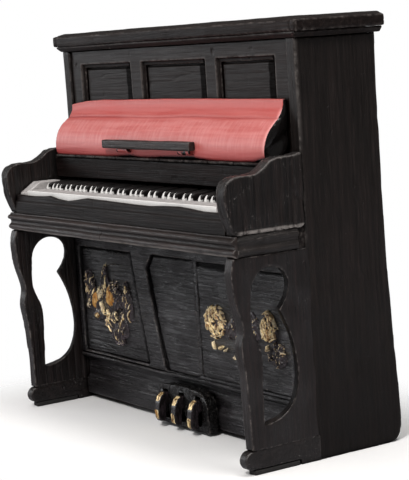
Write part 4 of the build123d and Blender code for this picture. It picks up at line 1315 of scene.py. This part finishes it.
# ------------------------------------------------------------------ nodes that keep their shape
for material, nodes in {
    "brass": ("lid_hinge_leaf", "lid_hinge_flap", "lid_hinge_pin"),
    "name": ("fallboard_hinge_leaf", "fallboard_hinge_flap", "fallboard_hinge_pin"),
    "steel": ("back_screws", "pedal_rod"),
    "wood": ("bottom_board", "key_frame_rails", "balance_rail"),
    "slip": ("key_bed",),
}.items():
    for node in nodes:
        slots = frame["nodes"][node].data.materials
        slots.clear()
        slots.append(MATERIALS[material])

# ------------------------------------------------------------------ floor
FLOOR_RADIUS = 3.0      # m
FOOTPRINT_X, FOOTPRINT_Y = 61.0, 27.0       # half sizes in mm; the floor fades outside them


def floor_material():
    """Pale floor that fades out for the camera and looks darker in reflections."""
    g = Graph("pale_floor")
    cloud = g.ramp(g.noise(0.02, detail=2), over=(0.3, 0.7))
    g.shade({
        "Base Color": g.mix(cloud, (0.90, 0.90, 0.91), (0.94, 0.94, 0.94)),
        "Roughness": 0.8,
    })
    x, y, _ = g.xyz()
    out_x, out_y = [g.math("MAXIMUM", g.minus(g.math("ABSOLUTE", axis), half), 0.0)
                    for axis, half in ((x, FOOTPRINT_X), (y, FOOTPRINT_Y))]
    far = g.math("SQRT", g.plus(g.times(out_x, out_x), g.times(out_y, out_y)))
    fade = g.ramp(far, over=(3.0, 55.0))
    clear = g.node("BsdfTransparent")
    rays = g.node("LightPath").outputs
    dimmed = g.node("BsdfDiffuse")
    dimmed.inputs[0].default_value = (0.30, 0.30, 0.32, 1)

    def mix_shaders(amount, first, second):
        node = g.node("MixShader")
        g.feed(node.inputs[0], amount)
        g.feed(node.inputs[1], first.outputs[0])
        g.feed(node.inputs[2], second.outputs[0])
        return node

    solid = mix_shaders(rays["Is Glossy Ray"], g.bsdf, dimmed)
    faded = mix_shaders(g.times(fade, rays["Is Camera Ray"]), solid, clear)
    g.feed(g.output.inputs[0], faded.outputs[0])
    return g.material


def build_floor():
    mesh = bpy.data.meshes.new("studio_floor")
    bm = bmesh.new()
    bm.faces.new([bm.verts.new((FLOOR_RADIUS * math.cos(t), FLOOR_RADIUS * math.sin(t), 0))
                  for t in np.linspace(0, 2 * math.pi, 64, endpoint=False)])
    bm.to_mesh(mesh)
    bm.free()
    floor = link(bpy.data.objects.new("studio_floor", mesh))
    mesh.materials.append(floor_material())


# ------------------------------------------------------------------ world, lights, camera
def build_world():
    """White to the camera, a dim warm light to everything else."""
    scene.world = scene.world or bpy.data.worlds.new("studio")
    scene.world.use_nodes = True
    tree = scene.world.node_tree
    tree.nodes.clear()
    output = tree.nodes.new("ShaderNodeOutputWorld")
    rays = tree.nodes.new("ShaderNodeLightPath")
    mixer = tree.nodes.new("ShaderNodeMixShader")
    tree.links.new(rays.outputs["Is Camera Ray"], mixer.inputs[0])
    lit, seen = ((1.0, 0.975, 0.96, 1), 0.15), ((1, 1, 1, 1), 1.0)
    for socket, (colour, strength) in zip(mixer.inputs[1:], (lit, seen)):
        background = tree.nodes.new("ShaderNodeBackground")
        background.inputs[0].default_value = colour
        background.inputs[1].default_value = strength
        tree.links.new(background.outputs[0], socket)
    tree.links.new(mixer.outputs[0], output.inputs[0])


def area(name, azimuth, elevation, distance, size, power, colour, centre=(0, 0, 0.06),
         target=(0, 0, 0.06)):
    """An area light placed around a centre; azimuth is 0 in front, positive to the right."""
    turn, rise = math.radians(azimuth), math.radians(elevation)
    location = (centre[0] + distance * math.sin(turn) * math.cos(rise),
                centre[1] - distance * math.cos(turn) * math.cos(rise),
                centre[2] + distance * math.sin(rise))
    light = bpy.data.lights.new(name, "AREA")
    light.energy = power
    light.shape = "RECTANGLE"
    light.size, light.size_y = size
    light.color = colour
    lamp = link(bpy.data.objects.new(name, light))
    lamp.location = location
    aim = Vector(target) - Vector(location)
    lamp.rotation_euler = aim.to_track_quat("-Z", "Y").to_euler()


def build_camera(azimuth, elevation, roll, lens, location):
    """A camera looking back along its azimuth and elevation, angles in degrees."""
    azimuth, elevation, roll = map(math.radians, (azimuth, elevation, roll))
    back = Vector((math.sin(azimuth) * math.cos(elevation),
                   -math.cos(azimuth) * math.cos(elevation), math.sin(elevation)))
    level = Vector((0, 0, 1)).cross(back).normalized()
    upright = back.cross(level)
    right = math.cos(roll) * level + math.sin(roll) * upright
    up = -math.sin(roll) * level + math.cos(roll) * upright
    data = bpy.data.cameras.new("photo_view")
    data.sensor_width = 36.0
    data.lens = lens
    data.clip_start = 0.01
    data.clip_end = 20
    camera = link(bpy.data.objects.new("photo_view", data))
    pose = Matrix((right, up, back)).transposed().to_4x4()
    pose.translation = Vector(location)
    camera.matrix_world = pose
    scene.camera = camera


scene.view_settings.view_transform = "Standard"
scene.view_settings.look = "None"
scene.view_settings.exposure = 0
scene.view_settings.gamma = 1
build_floor()
build_world()
area("key_right_front", azimuth=36, elevation=40, distance=0.9, size=(0.13, 0.13), power=5.4,
     colour=(1.0, 0.975, 0.95))
area("top_soft", azimuth=10, elevation=80, distance=0.8, size=(0.6, 0.6), power=3.3,
     colour=(1.0, 0.98, 0.96))
area("left_sheen", azimuth=-58, elevation=10, distance=1.0, size=(0.5, 0.36), power=1.9,
     colour=(0.95, 0.97, 1.0), target=(0, 0, 0.05))
area("right_rim", azimuth=96, elevation=60, distance=0.5, size=(0.15, 0.3), power=1.0,
     colour=(1.0, 0.975, 0.95), centre=(0, 0, 0.09), target=(0.06, 0, 0.09))
build_camera(azimuth=56.75, elevation=7.01, roll=-3.83, lens=122.7,
             location=(0.4074, -0.2581 + CASE_FRONT * MM, 0.1147))
